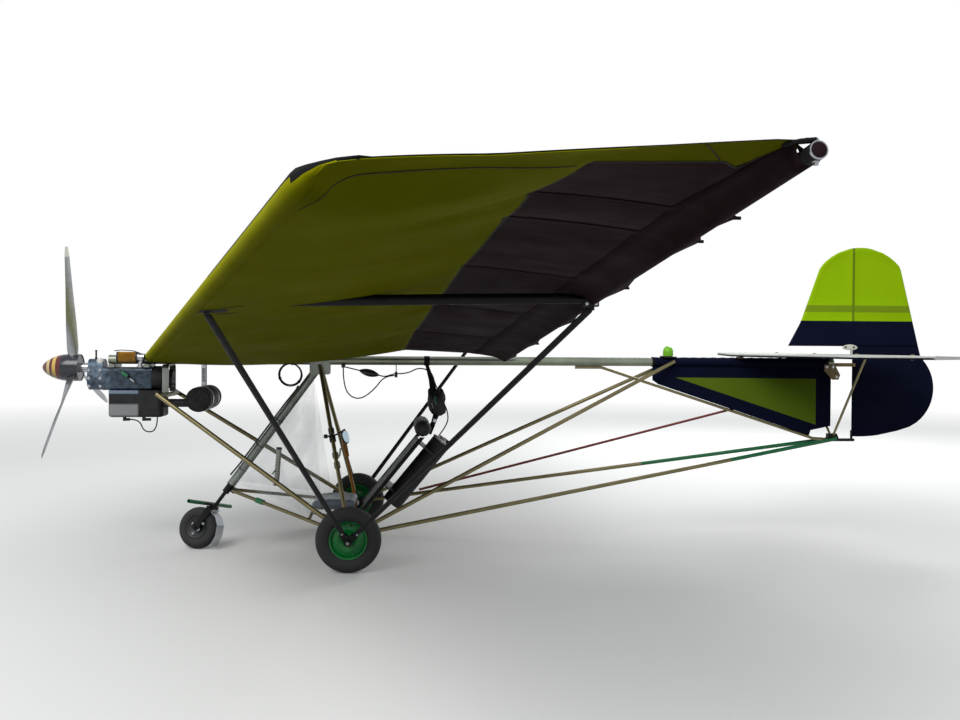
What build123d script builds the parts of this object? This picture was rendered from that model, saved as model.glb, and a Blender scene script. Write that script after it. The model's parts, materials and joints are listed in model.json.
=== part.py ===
"""Ultralight aircraft: a tube frame under one keel, with a fabric wing, a V of struts on each side
and a two-cylinder engine with a three-blade propeller at the nose.

The frame of the model: X runs aft, Y to starboard and Z up. The origin lies on the ground, under
the middle of the overall length. Lengths are in millimetres. A point is given for the starboard
side, and its port twin is the same point with Y turned over.
"""
import os
from math import asin, atan, cos, pi, radians, sin, tan

from build123d import *

os.makedirs("parts", exist_ok=True)

# Clearances
SEAT = 0.3          # a piece at rest beside what carries it
RUNNING = 0.05      # radial play of a shaft in its bore
CLEAR = 6.0         # least way between a moving piece and its neighbour
SIDES = (-1, 1)     # port, starboard

# Keel tube, from over the engine to the tail
KEEL_Z = 1202.0
KEEL_OD = 57.0
KEEL_WALL = 1.8
KEEL_FRONT_X = -2520.0
KEEL_REAR_X = 2222.0
KEEL_R = KEEL_OD / 2

# Wing: two spar tubes on each side, straight from the keel to the tip
LE_ROOT = (-2265.0, 1212.0)     # X and Z of the leading edge tube's line where it crosses Y = 0
LE_SWEEP = 0.3175               # aft for each mm outboard
LE_RISE = 0.1045
LE_OD = 51.0
LE_END_Y = 4195.0
TE_ROOT = (-12.0, 1215.0)
TE_SWEEP = 0.041
TE_RISE = 0.1168
TE_OD = 38.0
TE_END_Y = 4365.0
SPAR_WALL = 1.6
STRUT_Y = 2406.0                # struts and spreader bars meet the spars here
SPREADER_OD = 32.0

# Sail: a thin cambered skin over both spars
SAIL_T = 3.0
SAIL_ROOT_Y = 48.0
SAIL_TIP_Y = 4325.0
SAIL_OVERHANG = 48.0            # cloth aft of the trailing edge tube
SAIL_PEAK = 0.32                # place of the greatest camber, as a share of the chord
SAIL_CAMBER = ((SAIL_ROOT_Y, 96.0), (STRUT_Y, 104.0), (3730.0, 84.0), (SAIL_TIP_Y, 20.0))
LOWER_SHEET_T = 2.0             # second cloth under the front of the sail
LOWER_SHEET = (
    # distance from the keel, share of the chord where it meets the upper cloth, sag
    (SAIL_ROOT_Y, 0.71, 40.0),
    (STRUT_Y, 0.638, 36.0),
    (3730.0, 0.585, 26.0),
    (4150.0, 0.60, 10.0),
)
LOWER_SHEET_GAP = 4.0           # to the upper cloth, at the lower one's rear edge

# Main gear
AXLE_X = -982.0
AXLE_OD = 32.0
STUB_OD = 20.0
TOW_PIN_R = 8.0
TOW_PIN_L = 14.0
WHEEL_R = 188.3
WHEEL_W = 90.0
WHEEL_Y = 745.0
RIM_R = 109.0
HUB_R = 24.0
AXLE_Z = WHEEL_R
CLUSTER_Y = 640.0               # five frame tubes meet on each half of the axle here
CLUSTER_REACH = 108.0
CLUSTER_R = 24.0
CLUSTER_W = 44.0
STRUT_FOOT_Y = 817.0
STRUT_FOOT_W = 28.0
STRUT_FOOT_REACH = 92.0
STRUT_CHORD = 50.0
STRUT_THICK = 22.0

# Cage over the pilot
DOWN_TUBE_TOP = (-1214.0, 1153.0)
DOWN_TUBE_FOOT = (-1760.0, 407.0)
DOWN_TUBE_OD = 54.0
DOWN_TUBE_WALL = 1.8
CHEEK_T = 4.0
CHEEK_X = -1200.0
CHEEK_L = 130.0
CHEEK_DROP = 62.0
NOSE_BOSS = (-1742.0, 366.0)
NOSE_BOSS_R = 15.0
NOSE_BOSS_W = 68.0
CROSS_TUBE = (-2150.0, 981.0)
CROSS_TUBE_OD = 30.0
CROSS_TUBE_Y = 246.0
TAIL_JOINT = (2221.0, 686.0)
TAIL_JOINT_W = 36.0

# Steering fork, turned to starboard as it stands
STEER_DEG = 21.4
FORK_TURN = radians(STEER_DEG)
NOSE_WHEEL_R = 131.6
NOSE_WHEEL_W = 76.0
NOSE_RIM_R = 66.0
NOSE_AXLE_OD = 15.0
FOOT_BAR_UP = 162.0
FOOT_BAR_HALF = 281.0
FOOT_BAR_OD = 24.0
STEM_OD = 24.0
HEAD_OD = 44.0
HEAD_L = 64.0

# Engine and propeller
CASE_FRONT_X = -2543.5
CASE_L = 301.5
CASE_X = (CASE_FRONT_X, CASE_FRONT_X + CASE_L)
CASE_W = 170.0
CASE_Z = (1010.0, 1154.0)
CRANK_Z = 1080.0
GEARBOX_L = 94.0
GEARBOX_X = (CASE_FRONT_X - SEAT - GEARBOX_L, CASE_FRONT_X - SEAT)
PROP_AHEAD = 98.0               # blades ahead of the gearbox
PROP_X = GEARBOX_X[0] - PROP_AHEAD
PROP_Z = 1149.5
PROP_R = 761.6
PROP_LEAN = 0.1903              # the upper blade leans to port
PROP_PITCH = 900.0
BLADES = 3
SPINNER_L = 235.0
SPINNER_BEHIND = 42.0           # spinner's rim behind the blades
SPINNER_REAR_X = PROP_X + SPINNER_BEHIND
SPINNER_FRONT_X = SPINNER_REAR_X - SPINNER_L
SPINNER_R = 85.0
SPINNER_T = 2.5
FAN_L = 60.5
FAN_X = (CASE_X[1] + 0.5, CASE_X[1] + 0.5 + FAN_L)
FAN_R = 82.0
STARTER_L = 60.0
STARTER_R = 67.0
SHROUD_L = 334.0
SHROUD_X = (CASE_FRONT_X + 39.5, CASE_FRONT_X + 39.5 + SHROUD_L)
SHROUD_Z = (842.0, 1009.5)
SHROUD_W = 200.0
DRUM_R = 75.0
DRUM_W = 372.0
PIPE_L = 238.0                  # exhaust pipe, from the shroud to the middle of the drum
DRUM_X = SHROUD_X[1] + PIPE_L
DRUM_Z = 958.0

# Tail
FIN_FRONT_X = 983.0
FIN_REAR_X = 2212.0
FIN_T = 22.0
FIN_TUBE_OD = 19.0
STAB_LE_X = 1519.0
STAB_TIP_LE_X = 1831.0
STAB_HALF = 1250.0
STAB_T = 22.0
HINGE_X = 2236.0
STAB_LIFT = 8.0
ELEVATOR_TE_X = 2590.0
RUDDER_X = 2360.0
RUDDER_T = 22.0
TAIL_TUBE_OD = 25.0


def le_point(y):
    """Point of the leading edge tube's line at a distance y from the keel."""
    return Vector(LE_ROOT[0] + LE_SWEEP * y, y, LE_ROOT[1] + LE_RISE * y)


def te_point(y):
    """Point of the trailing edge tube's line at a distance y from the keel."""
    return Vector(TE_ROOT[0] + TE_SWEEP * y, y, TE_ROOT[1] + TE_RISE * y)


def on_side(point, side):
    """The starboard point itself, or its twin on the port side."""
    x, y, z = point
    return Vector(x, side * y, z)


def straight(start, end, cut_start=0.0, cut_end=0.0):
    """Sketch plane and length of a straight tube that stops short of its two joint centres."""
    way = end - start
    unit = way.normalized()
    level = Vector(1, 0, 0) - unit * unit.X
    plane = Plane(origin=start + unit * cut_start, x_dir=level, z_dir=unit)
    return plane, way.length - cut_start - cut_end


def side_plane(y):
    """Plane that faces the side, with its own X aft and its own Y up."""
    return Plane.XZ.offset(-y)


def across(x, z):
    """Plane that faces the side through a centre line across the aircraft."""
    return Plane(origin=(x, 0, z), x_dir=(1, 0, 0), z_dir=(0, 1, 0))


def finish(block, name):
    """Name a finished piece and write it under its name."""
    block.part.label = name
    export_step(block.part, f"parts/{name}.step")


# Keel and wing spars
with BuildPart() as keel_tube:
    with BuildSketch(Plane(origin=(KEEL_FRONT_X, 0, KEEL_Z), z_dir=(1, 0, 0))):
        Circle(KEEL_R)
        Circle(KEEL_R - KEEL_WALL, mode=Mode.SUBTRACT)
    extrude(amount=KEEL_REAR_X - KEEL_FRONT_X)
finish(keel_tube, "keel_tube")

SPARS = (
    # line, outer diameter, outboard end
    (le_point, LE_OD, LE_END_Y),
    (te_point, TE_OD, TE_END_Y),
)
with BuildPart() as wing_spars:
    for spar_line, spar_od, spar_end in SPARS:
        for side in SIDES:
            seat, length = straight(on_side(spar_line(0), side), on_side(spar_line(spar_end), side))
            with BuildSketch(seat):
                Circle(spar_od / 2)
                Circle(spar_od / 2 - SPAR_WALL, mode=Mode.SUBTRACT)
            extrude(amount=length)
        # the root ends are cut flat beside the keel
        with Locations(spar_line(0)):
            Box(4 * spar_od, 2 * (KEEL_R + SEAT), 4 * spar_od, mode=Mode.SUBTRACT)
finish(wing_spars, "wing_spars")


def bar_setback(spar_od, sweep):
    """Distance from a swept spar's line to the square end of a spreader bar beside it."""
    return spar_od / 2 * (1 + sweep ** 2) ** 0.5 + SPREADER_OD / 2 * sweep + 2 * SEAT


with BuildPart() as spreader_bars:
    for side in SIDES:
        seat, length = straight(on_side(le_point(STRUT_Y), side), on_side(te_point(STRUT_Y), side),
                                bar_setback(LE_OD, LE_SWEEP), bar_setback(TE_OD, TE_SWEEP))
        with BuildSketch(seat):
            Circle(SPREADER_OD / 2)
            Circle(SPREADER_OD / 2 - SPAR_WALL, mode=Mode.SUBTRACT)
        extrude(amount=length)
finish(spreader_bars, "spreader_bars")

# Sail: one cambered skin on each side, with its nose wrapped round the leading edge tube
LE_WRAP = LE_OD / 2 * 1.07 + SEAT
TE_LIFT = TE_OD / 2 * 1.02 + SEAT


def camber_at(y):
    """Camber of the upper cloth at a distance y from the keel."""
    for (inner, low), (outer, high) in zip(SAIL_CAMBER, SAIL_CAMBER[1:]):
        if y <= outer:
            return low + (high - low) * (y - inner) / (outer - inner)


def sail_crown(y):
    """Highest point of the upper cloth's inner face, its rear lip and the chord's slope."""
    nose = le_point(y)
    tail = te_point(y)
    chord = tail.X - nose.X
    camber = camber_at(y)
    crown = (nose.X + SAIL_PEAK * chord, nose.Z + SAIL_PEAK * (tail.Z - nose.Z) + camber)
    slope = atan((tail.Z - nose.Z) / chord)
    rear = tail.X + SAIL_OVERHANG
    rear_slope = slope - 2 * (camber - TE_LIFT) / (rear - crown[0])
    return crown, (rear, tail.Z + TE_LIFT + SAIL_OVERHANG * rear_slope), slope


def upper_section(y, side):
    """Closed section of the upper cloth at one distance from the keel."""
    nose = le_point(y)
    crown, lip, slope = sail_crown(y)
    with BuildSketch(side_plane(side * y)) as section:
        with BuildLine():
            ends = []
            for grow in (0.0, SAIL_T):
                reach = LE_WRAP + grow
                front = (nose.X - reach, nose.Z)
                wrap = TangentArc(front, (nose.X - reach * 0.34, nose.Z + reach * 0.94),
                                  tangent=(0, 1))
                top = (crown[0], crown[1] + grow)
                rear = (lip[0], lip[1] + grow)
                Line(wrap @ 1, top)
                TangentArc(top, rear, tangent=(1, slope))
                ends.append((front, rear))
            Line(ends[0][0], ends[1][0])
            Line(ends[0][1], ends[1][1])
        make_face()
    return section.sketch


def under_upper_cloth(y, share):
    """Point just under the upper cloth, at a share of the chord behind its crown."""
    crown, lip, slope = sail_crown(y)
    down = (sin(slope), -cos(slope))
    to_lip = (lip[0] - crown[0], lip[1] - crown[1])
    radius = (to_lip[0] ** 2 + to_lip[1] ** 2) / 2 / (to_lip[0] * down[0] + to_lip[1] * down[1])
    centre = (crown[0] + down[0] * radius, crown[1] + down[1] * radius)
    x = le_point(y).X + share * (te_point(y).X - le_point(y).X)
    return x, centre[1] + (radius ** 2 - (x - centre[0]) ** 2) ** 0.5 - LOWER_SHEET_GAP


def lower_section(y, share, sag, side):
    """Closed section of the lower cloth at one distance from the keel."""
    nose = le_point(y)
    joint = under_upper_cloth(y, share)
    with BuildSketch(side_plane(side * y)) as section:
        with BuildLine():
            ends = []
            for grow in (0.0, LOWER_SHEET_T):
                reach = LE_WRAP + grow
                front = (nose.X - reach, nose.Z - SEAT)
                foot = (nose.X, nose.Z - reach)
                rear = (joint[0], joint[1] - grow)
                TangentArc(front, foot, tangent=(0, -1))
                ThreePointArc(foot, ((foot[0] + rear[0]) / 2, (foot[1] + rear[1]) / 2 - sag), rear)
                ends.append((front, rear))
            Line(ends[0][0], ends[1][0])
            Line(ends[0][1], ends[1][1])
        make_face()
    return section.sketch


for side, side_name in zip(SIDES, ("port", "starboard")):
    with BuildPart() as sail:
        add([upper_section(y, side) for y, _ in SAIL_CAMBER])
        loft(ruled=True)
    finish(sail, f"sail_{side_name}")

# Struts' shoes under the spars, which come out through the lower cloth, as the spreader bars do
SHOE_DROP = 30.0
SHOE_L = 74.0
SHOE_W = 30.0
LE_SHOE = le_point(STRUT_Y) + Vector(14, 0, -LE_OD / 2 - SHOE_DROP / 2)
TE_SHOE = te_point(STRUT_Y) + Vector(-6, 0, -TE_OD / 2 - SHOE_DROP / 2)
CLOTH_SLOT = 5.0
with BuildPart() as sail_lower:
    for side in SIDES:
        with BuildPart(mode=Mode.PRIVATE) as half:
            add([lower_section(y, share, sag, side) for y, share, sag in LOWER_SHEET])
            loft(ruled=True)
        add(half)
    for side in SIDES:
        seat, _ = straight(on_side(le_point(STRUT_Y), side), on_side(te_point(STRUT_Y), side))
        with Locations(seat):
            Cylinder(SPREADER_OD / 2 + CLOTH_SLOT, 2 * TE_SHOE.X - 2 * LE_SHOE.X, mode=Mode.SUBTRACT)
        with Locations(on_side(LE_SHOE, side)):
            Box(SHOE_L + CLOTH_SLOT, SHOE_W + CLOTH_SLOT, 2 * SHOE_DROP, mode=Mode.SUBTRACT)
finish(sail_lower, "sail_lower")

# Axle, its frame clusters and the feet of the lift struts
WHEEL_IN = WHEEL_Y - WHEEL_W / 2
WHEEL_OUT = WHEEL_Y + WHEEL_W / 2
STUB_FROM = WHEEL_IN - CLEAR
STUB_END = STRUT_FOOT_Y + STRUT_FOOT_W / 2 + 22     # clear of the struts' undersides
AXLE_JOINT = Vector(AXLE_X, CLUSTER_Y, AXLE_Z)
CAGE_TOP = Vector(CHEEK_X + 6, 50, KEEL_Z - 54)
NOSE_JOINT = Vector(NOSE_BOSS[0], 30, NOSE_BOSS[1])
CROSS_END = Vector(CROSS_TUBE[0], CROSS_TUBE_Y + 5, CROSS_TUBE[1])
BRACE_TOP = Vector(1098, 43, 1194)
TAIL_END = Vector(TAIL_JOINT[0] - 4, 27, TAIL_JOINT[1])

# Frame tubes that run from the axle clusters to a fitting on the middle line. The inboard end of
# each is cut flat along the side of that fitting.
LOWER_OD = 22.0
CAGE_TUBES = (
    # far joint, outer diameter, half width of the fitting
    (CROSS_END, 28.0, CROSS_TUBE_Y),
    (NOSE_JOINT, LOWER_OD, NOSE_BOSS_W / 2),
    (CAGE_TOP, 25.0, KEEL_R + SEAT + CHEEK_T),
    (BRACE_TOP, 25.0, KEEL_R),
)
FRAME_TUBES = CAGE_TUBES + ((TAIL_END, TAIL_TUBE_OD, TAIL_JOINT_W / 2),)
BRACE_FREE_END = 26.0

with BuildPart() as axle:
    with BuildSketch(Plane.XZ.offset(-STUB_FROM)):
        with Locations((AXLE_X, AXLE_Z)):
            Circle(AXLE_OD / 2)
    extrude(amount=2 * STUB_FROM)
    with BuildSketch(Plane.XZ.offset(-STUB_END)):
        with Locations((AXLE_X, AXLE_Z)):
            Circle(STUB_OD / 2)
    extrude(amount=2 * STUB_END)
    with BuildSketch(Plane.XZ.offset(-STUB_END - TOW_PIN_L)):
        with Locations((AXLE_X, AXLE_Z)):
            Circle(TOW_PIN_R)
    extrude(amount=2 * (STUB_END + TOW_PIN_L))
finish(axle, "axle")

with BuildPart() as frame_tubes:
    for far, tube_od, half_width in FRAME_TUBES:
        for side in SIDES:
            seat, length = straight(on_side(AXLE_JOINT, side), on_side(far, side),
                                    CLUSTER_REACH, -BRACE_FREE_END)
            with BuildSketch(seat):
                Circle(tube_od / 2)
                Circle(tube_od / 2 - SPAR_WALL, mode=Mode.SUBTRACT)
            extrude(amount=length)
        with Locations(Vector(far.X, 0, far.Z)):
            Box(8 * tube_od, 2 * (half_width + SEAT), 8 * tube_od, mode=Mode.SUBTRACT)
    with BuildSketch(side_plane(-CROSS_TUBE_Y)):
        with Locations(CROSS_TUBE):
            Circle(CROSS_TUBE_OD / 2)
            Circle(CROSS_TUBE_OD / 2 - SPAR_WALL, mode=Mode.SUBTRACT)
    extrude(amount=-2 * CROSS_TUBE_Y)
finish(frame_tubes, "frame_tubes")

# Lift struts of streamlined tube, with their feet outboard of the wheels
STRUT_FOOT = Vector(AXLE_X, STRUT_FOOT_Y, AXLE_Z)
STRUT_HEADS = (LE_SHOE, TE_SHOE)
with BuildPart() as axle_fittings:
    for side in SIDES:
        joint = on_side(AXLE_JOINT, side)
        with BuildSketch(side_plane(side * CLUSTER_Y)):
            with Locations((AXLE_X, AXLE_Z)):
                Circle(CLUSTER_R)
        extrude(amount=CLUSTER_W / 2, both=True)
        for far, tube_od, _ in FRAME_TUBES:
            seat, length = straight(joint, on_side(far, side))
            with BuildSketch(seat):
                Circle(tube_od / 2)
            extrude(amount=CLUSTER_REACH)
    with Locations(Plane(origin=(AXLE_X, 0, AXLE_Z), z_dir=(0, 1, 0))):
        Cylinder(AXLE_OD / 2 + RUNNING, 2 * STUB_FROM, mode=Mode.SUBTRACT)
    for side in SIDES:
        with BuildSketch(side_plane(side * STRUT_FOOT_Y)):
            with Locations((AXLE_X, AXLE_Z)):
                Circle(HUB_R)
        extrude(amount=STRUT_FOOT_W / 2, both=True)
        for head in STRUT_HEADS:
            seat, length = straight(on_side(STRUT_FOOT, side), on_side(head, side))
            with BuildSketch(seat):
                Ellipse(STRUT_CHORD / 2, STRUT_THICK / 2)
            extrude(amount=STRUT_FOOT_REACH)
    with Locations(Plane(origin=(AXLE_X, 0, AXLE_Z), z_dir=(0, 1, 0))):
        Cylinder(STUB_OD / 2 + RUNNING, 2 * STUB_END, mode=Mode.SUBTRACT)
    for side in SIDES:
        with Locations((AXLE_X, side * WHEEL_Y, AXLE_Z)):
            Box(3 * WHEEL_R, WHEEL_W + 2 * CLEAR, 3 * WHEEL_R, mode=Mode.SUBTRACT)
finish(axle_fittings, "axle_fittings")

with BuildPart() as lift_struts:
    for head in STRUT_HEADS:
        for side in SIDES:
            seat, length = straight(on_side(STRUT_FOOT, side), on_side(head, side),
                                    STRUT_FOOT_REACH, SHOE_DROP / 2)
            with BuildSketch(seat):
                Ellipse(STRUT_CHORD / 2, STRUT_THICK / 2)
                Ellipse(STRUT_CHORD / 2 - SPAR_WALL, STRUT_THICK / 2 - SPAR_WALL, mode=Mode.SUBTRACT)
            extrude(amount=length)
finish(lift_struts, "lift_struts")

# Wheels, with the rims dished outboard
TYRE_IN_R = RIM_R - 5
TYRE_CROWN_R = 38.0
for side, side_name in zip(SIDES, ("port", "starboard")):
    with BuildPart() as rim:
        with BuildSketch(Plane(origin=(AXLE_X, side * WHEEL_Y, AXLE_Z), x_dir=(1, 0, 0),
                               z_dir=(0, 0, 1))):
            with BuildLine():
                Polyline(
                    (STUB_OD / 2 + RUNNING, -WHEEL_W / 2 + 4), (HUB_R, -WHEEL_W / 2 + 4),
                    (HUB_R, side * 14 - 2), (62, side * 22 - 2), (TYRE_IN_R - 4, side * 12 - 2),
                    (TYRE_IN_R - 4, -34), (RIM_R, -36), (RIM_R, -33), (TYRE_IN_R - 1, -31),
                    (TYRE_IN_R - 1, 31), (RIM_R, 33), (RIM_R, 36), (TYRE_IN_R - 4, 34),
                    (TYRE_IN_R - 4, side * 12 + 2), (62, side * 22 + 2), (HUB_R, side * 14 + 2),
                    (HUB_R, WHEEL_W / 2 - 4), (STUB_OD / 2 + RUNNING, WHEEL_W / 2 - 4), close=True)
            make_face()
        revolve(axis=Axis((AXLE_X, 0, AXLE_Z), (0, 1, 0)))
    finish(rim, f"wheel_rim_{side_name}")
    with BuildPart() as tyre:
        with BuildSketch(Plane(origin=(AXLE_X, side * WHEEL_Y, AXLE_Z), x_dir=(1, 0, 0),
                               z_dir=(0, 0, 1))):
            with BuildLine():
                Polyline((RIM_R + 2, -32), (TYRE_IN_R, -30), (TYRE_IN_R, 30), (RIM_R + 2, 32))
                ThreePointArc((RIM_R + 2, 32), (148, WHEEL_W / 2), (178, 32))
                ThreePointArc((178, 32), (WHEEL_R, 0), (178, -32))
                ThreePointArc((178, -32), (148, -WHEEL_W / 2), (RIM_R + 2, -32))
            make_face()
        revolve(axis=Axis((AXLE_X, 0, AXLE_Z), (0, 1, 0)))
    finish(tyre, f"tyre_{side_name}")

# Shoes between the struts and the spars
with BuildPart() as strut_shoes:
    for side in SIDES:
        for head in STRUT_HEADS:
            with Locations(on_side(head, side)):
                Box(SHOE_L, SHOE_W, SHOE_DROP + 14)
    for spar_line, spar_od, spar_end in SPARS:
        for side in SIDES:
            seat, length = straight(on_side(spar_line(0), side), on_side(spar_line(spar_end), side))
            with Locations(seat):
                Cylinder(spar_od / 2 + SEAT, 2 * length, mode=Mode.SUBTRACT)
    for side in SIDES:
        seat, length = straight(on_side(le_point(STRUT_Y), side), on_side(te_point(STRUT_Y), side))
        with Locations(seat):
            Cylinder(SPREADER_OD / 2 + SEAT, 2 * length, mode=Mode.SUBTRACT)
        for head in STRUT_HEADS:
            seat, length = straight(on_side(STRUT_FOOT, side), on_side(head, side), 0, SHOE_DROP / 2)
            with BuildSketch(seat):
                Ellipse(STRUT_CHORD / 2 + SEAT, STRUT_THICK / 2 + SEAT)
            extrude(amount=length, mode=Mode.SUBTRACT)
finish(strut_shoes, "strut_shoes")

# Cage: the bracket under the keel, the down tube and the steering head at its foot
BRACKET_TOP = KEEL_Z + 14
with BuildPart() as cage_bracket:
    for side in SIDES:
        with BuildSketch(side_plane(side * (KEEL_R + SEAT))):
            with Locations((CHEEK_X, BRACKET_TOP - (BRACKET_TOP - KEEL_Z + KEEL_R + CHEEK_DROP) / 2)):
                RectangleRounded(CHEEK_L, BRACKET_TOP - KEEL_Z + KEEL_R + CHEEK_DROP, 12)
        extrude(amount=-side * CHEEK_T)
    with Locations((CHEEK_X + CHEEK_L / 2 - 16, 0, KEEL_Z - KEEL_R - CHEEK_DROP / 2)):
        Box(CHEEK_T * 2, 2 * (KEEL_R + SEAT), CHEEK_DROP - 14)
finish(cage_bracket, "cage_bracket")

DOWN_TOP = Vector(DOWN_TUBE_TOP[0], 0, DOWN_TUBE_TOP[1])
DOWN_FOOT = Vector(DOWN_TUBE_FOOT[0], 0, DOWN_TUBE_FOOT[1])
DOWN_WAY = (DOWN_FOOT - DOWN_TOP).normalized()
with BuildPart() as down_tube:
    seat, length = straight(DOWN_TOP, DOWN_FOOT)
    with BuildSketch(seat):
        Circle(DOWN_TUBE_OD / 2)
        Circle(DOWN_TUBE_OD / 2 - DOWN_TUBE_WALL, mode=Mode.SUBTRACT)
    extrude(amount=length)
    with Locations((DOWN_TOP.X, 0, KEEL_Z - KEEL_R - SEAT + KEEL_R)):
        Box(4 * DOWN_TUBE_OD, 2 * DOWN_TUBE_OD, KEEL_OD, mode=Mode.SUBTRACT)
finish(down_tube, "down_tube")

HEAD_CAP = 8.0
with BuildPart() as steering_head:
    seat = Plane(origin=DOWN_FOOT + DOWN_WAY * RUNNING, x_dir=(0, 1, 0), z_dir=DOWN_WAY)
    with BuildSketch(seat):
        Circle(DOWN_TUBE_OD / 2)
    extrude(amount=HEAD_CAP)
    with BuildSketch(seat):
        Circle(HEAD_OD / 2)
    extrude(amount=HEAD_L)
    with BuildSketch(side_plane(0)):
        with Locations(NOSE_BOSS):
            Circle(NOSE_BOSS_R)
    extrude(amount=NOSE_BOSS_W / 2, both=True)
    head_middle = DOWN_FOOT + DOWN_WAY * HEAD_L / 2
    seat, length = straight(Vector(NOSE_BOSS[0], 0, NOSE_BOSS[1]), head_middle)
    with BuildSketch(seat):
        Rectangle(NOSE_BOSS_R * 2, 24)
    extrude(amount=length)
    seat = Plane(origin=DOWN_FOOT, x_dir=(0, 1, 0), z_dir=DOWN_WAY)
    with BuildSketch(seat.offset(HEAD_CAP)):
        Circle(STEM_OD / 2 + RUNNING)
    extrude(amount=HEAD_L, mode=Mode.SUBTRACT)
finish(steering_head, "steering_head")

# Steering fork, in its own frame: Z up the steering line, X forward, Y to port
CORE_R = NOSE_WHEEL_R - NOSE_WHEEL_W / 2
LEAN = asin(sin(FORK_TURN) * -DOWN_WAY.X)
NOSE_AXLE_Z = CORE_R * cos(LEAN) + NOSE_WHEEL_W / 2
FORK_UP = (DOWN_FOOT.Z - NOSE_AXLE_Z) / -DOWN_WAY.Z
NOSE_AXLE = DOWN_FOOT + DOWN_WAY * FORK_UP
AHEAD = Vector(DOWN_WAY.Z, 0, -DOWN_WAY.X)
FORK_X = AHEAD * cos(FORK_TURN) + Vector(0, 1, 0) * sin(FORK_TURN)
FORK = Plane(origin=NOSE_AXLE, x_dir=FORK_X, z_dir=-DOWN_WAY)
FORK_Y = FORK.y_dir
CROWN_UP = NOSE_WHEEL_R + CLEAR + 4
CROWN_T = 12.0
CROWN_FRONT = 22.0
CROWN_BLOCK_W = 40.0
BLADE_IN = NOSE_WHEEL_W / 2 + CLEAR + 3
BLADE_T = 5.0
STEM_TOP = FORK_UP - HEAD_CAP - 1


def fork_plane(x=0.0, y=0.0, z=0.0, along=None, level=None):
    """Plane at a point of the turned fork, facing up the steering line unless told otherwise."""
    origin = FORK.from_local_coords(Vector(x, y, z))
    return Plane(origin=origin, x_dir=level or FORK_X, z_dir=along or FORK.z_dir)


with BuildPart() as nose_fork:
    for side in SIDES:
        with BuildSketch(fork_plane(y=side * (BLADE_IN + BLADE_T / 2), along=FORK_Y,
                                    level=FORK.z_dir)):
            with BuildLine():
                Polyline((30, 16), (CROWN_UP + CROWN_T, CROWN_FRONT), (CROWN_UP + CROWN_T, -CROWN_FRONT), (30, -16))
                ThreePointArc((30, 16), (-17, 0), (30, -16))
            make_face()
        extrude(amount=BLADE_T / 2, both=True)
    with BuildSketch(fork_plane(z=CROWN_UP)):
        RectangleRounded(2 * CROWN_FRONT, 2 * (BLADE_IN + BLADE_T), 4)
    extrude(amount=CROWN_T)
    with BuildSketch(fork_plane(z=CROWN_UP)):
        Circle(STEM_OD / 2)
    extrude(amount=STEM_TOP - CROWN_UP)
    # block in front of which the foot bar is clamped
    with BuildSketch(fork_plane(z=CROWN_UP)):
        Rectangle(2 * CROWN_FRONT, CROWN_BLOCK_W)
    extrude(amount=FOOT_BAR_UP + FOOT_BAR_OD / 2 - CROWN_UP)
    with BuildSketch(fork_plane(along=FORK_Y)):
        Circle(NOSE_AXLE_OD / 2)
    extrude(amount=BLADE_IN + BLADE_T + 12, both=True)
finish(nose_fork, "nose_fork")

with BuildPart() as foot_bar:
    with BuildSketch(fork_plane(x=FOOT_BAR_OD / 2 + CROWN_FRONT + SEAT, z=FOOT_BAR_UP, along=FORK_Y)):
        Circle(FOOT_BAR_OD / 2)
        Circle(FOOT_BAR_OD / 2 - SPAR_WALL, mode=Mode.SUBTRACT)
    extrude(amount=FOOT_BAR_HALF, both=True)
finish(foot_bar, "foot_bar")

FLAP_T = 2.0
FLAP_W = 92.0
FLAP_ROUTE = (
    # up the steering line from the axle, behind it
    (CROWN_UP + CROWN_T, CROWN_FRONT + SEAT + FLAP_T / 2),
    (CROWN_UP - 4, CROWN_FRONT + SEAT + FLAP_T / 2),
    (NOSE_WHEEL_R, 66),
    (100, 112),
    (40, NOSE_WHEEL_R + 14),
    (-28, NOSE_WHEEL_R + 22),
)
with BuildPart() as scrub_flap:
    with BuildSketch(fork_plane(along=FORK_Y, level=FORK.z_dir)):
        with BuildLine():
            route = Polyline(*[(up, -behind) for up, behind in FLAP_ROUTE])
            offset(route, amount=FLAP_T / 2, side=Side.BOTH)
        make_face()
    extrude(amount=FLAP_W / 2, both=True)
finish(scrub_flap, "scrub_flap")

NOSE_SEAT_R = NOSE_RIM_R - 4
with BuildPart() as nose_rim:
    with BuildSketch(fork_plane(along=FORK.z_dir)):
        with BuildLine():
            Polyline((NOSE_AXLE_OD / 2 + RUNNING, -BLADE_IN + 1), (18, -BLADE_IN + 1), (18, -16),
                     (NOSE_SEAT_R - 4, -24), (NOSE_SEAT_R - 4, -28), (NOSE_RIM_R, -30),
                     (NOSE_RIM_R, -27), (NOSE_SEAT_R - 1, -25), (NOSE_SEAT_R - 1, 25),
                     (NOSE_RIM_R, 27), (NOSE_RIM_R, 30), (NOSE_SEAT_R - 4, 28),
                     (NOSE_SEAT_R - 4, 24), (18, 16), (18, BLADE_IN - 1),
                     (NOSE_AXLE_OD / 2 + RUNNING, BLADE_IN - 1), close=True)
        make_face()
    revolve(axis=Axis(NOSE_AXLE, FORK_Y))
finish(nose_rim, "nose_rim")

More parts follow.
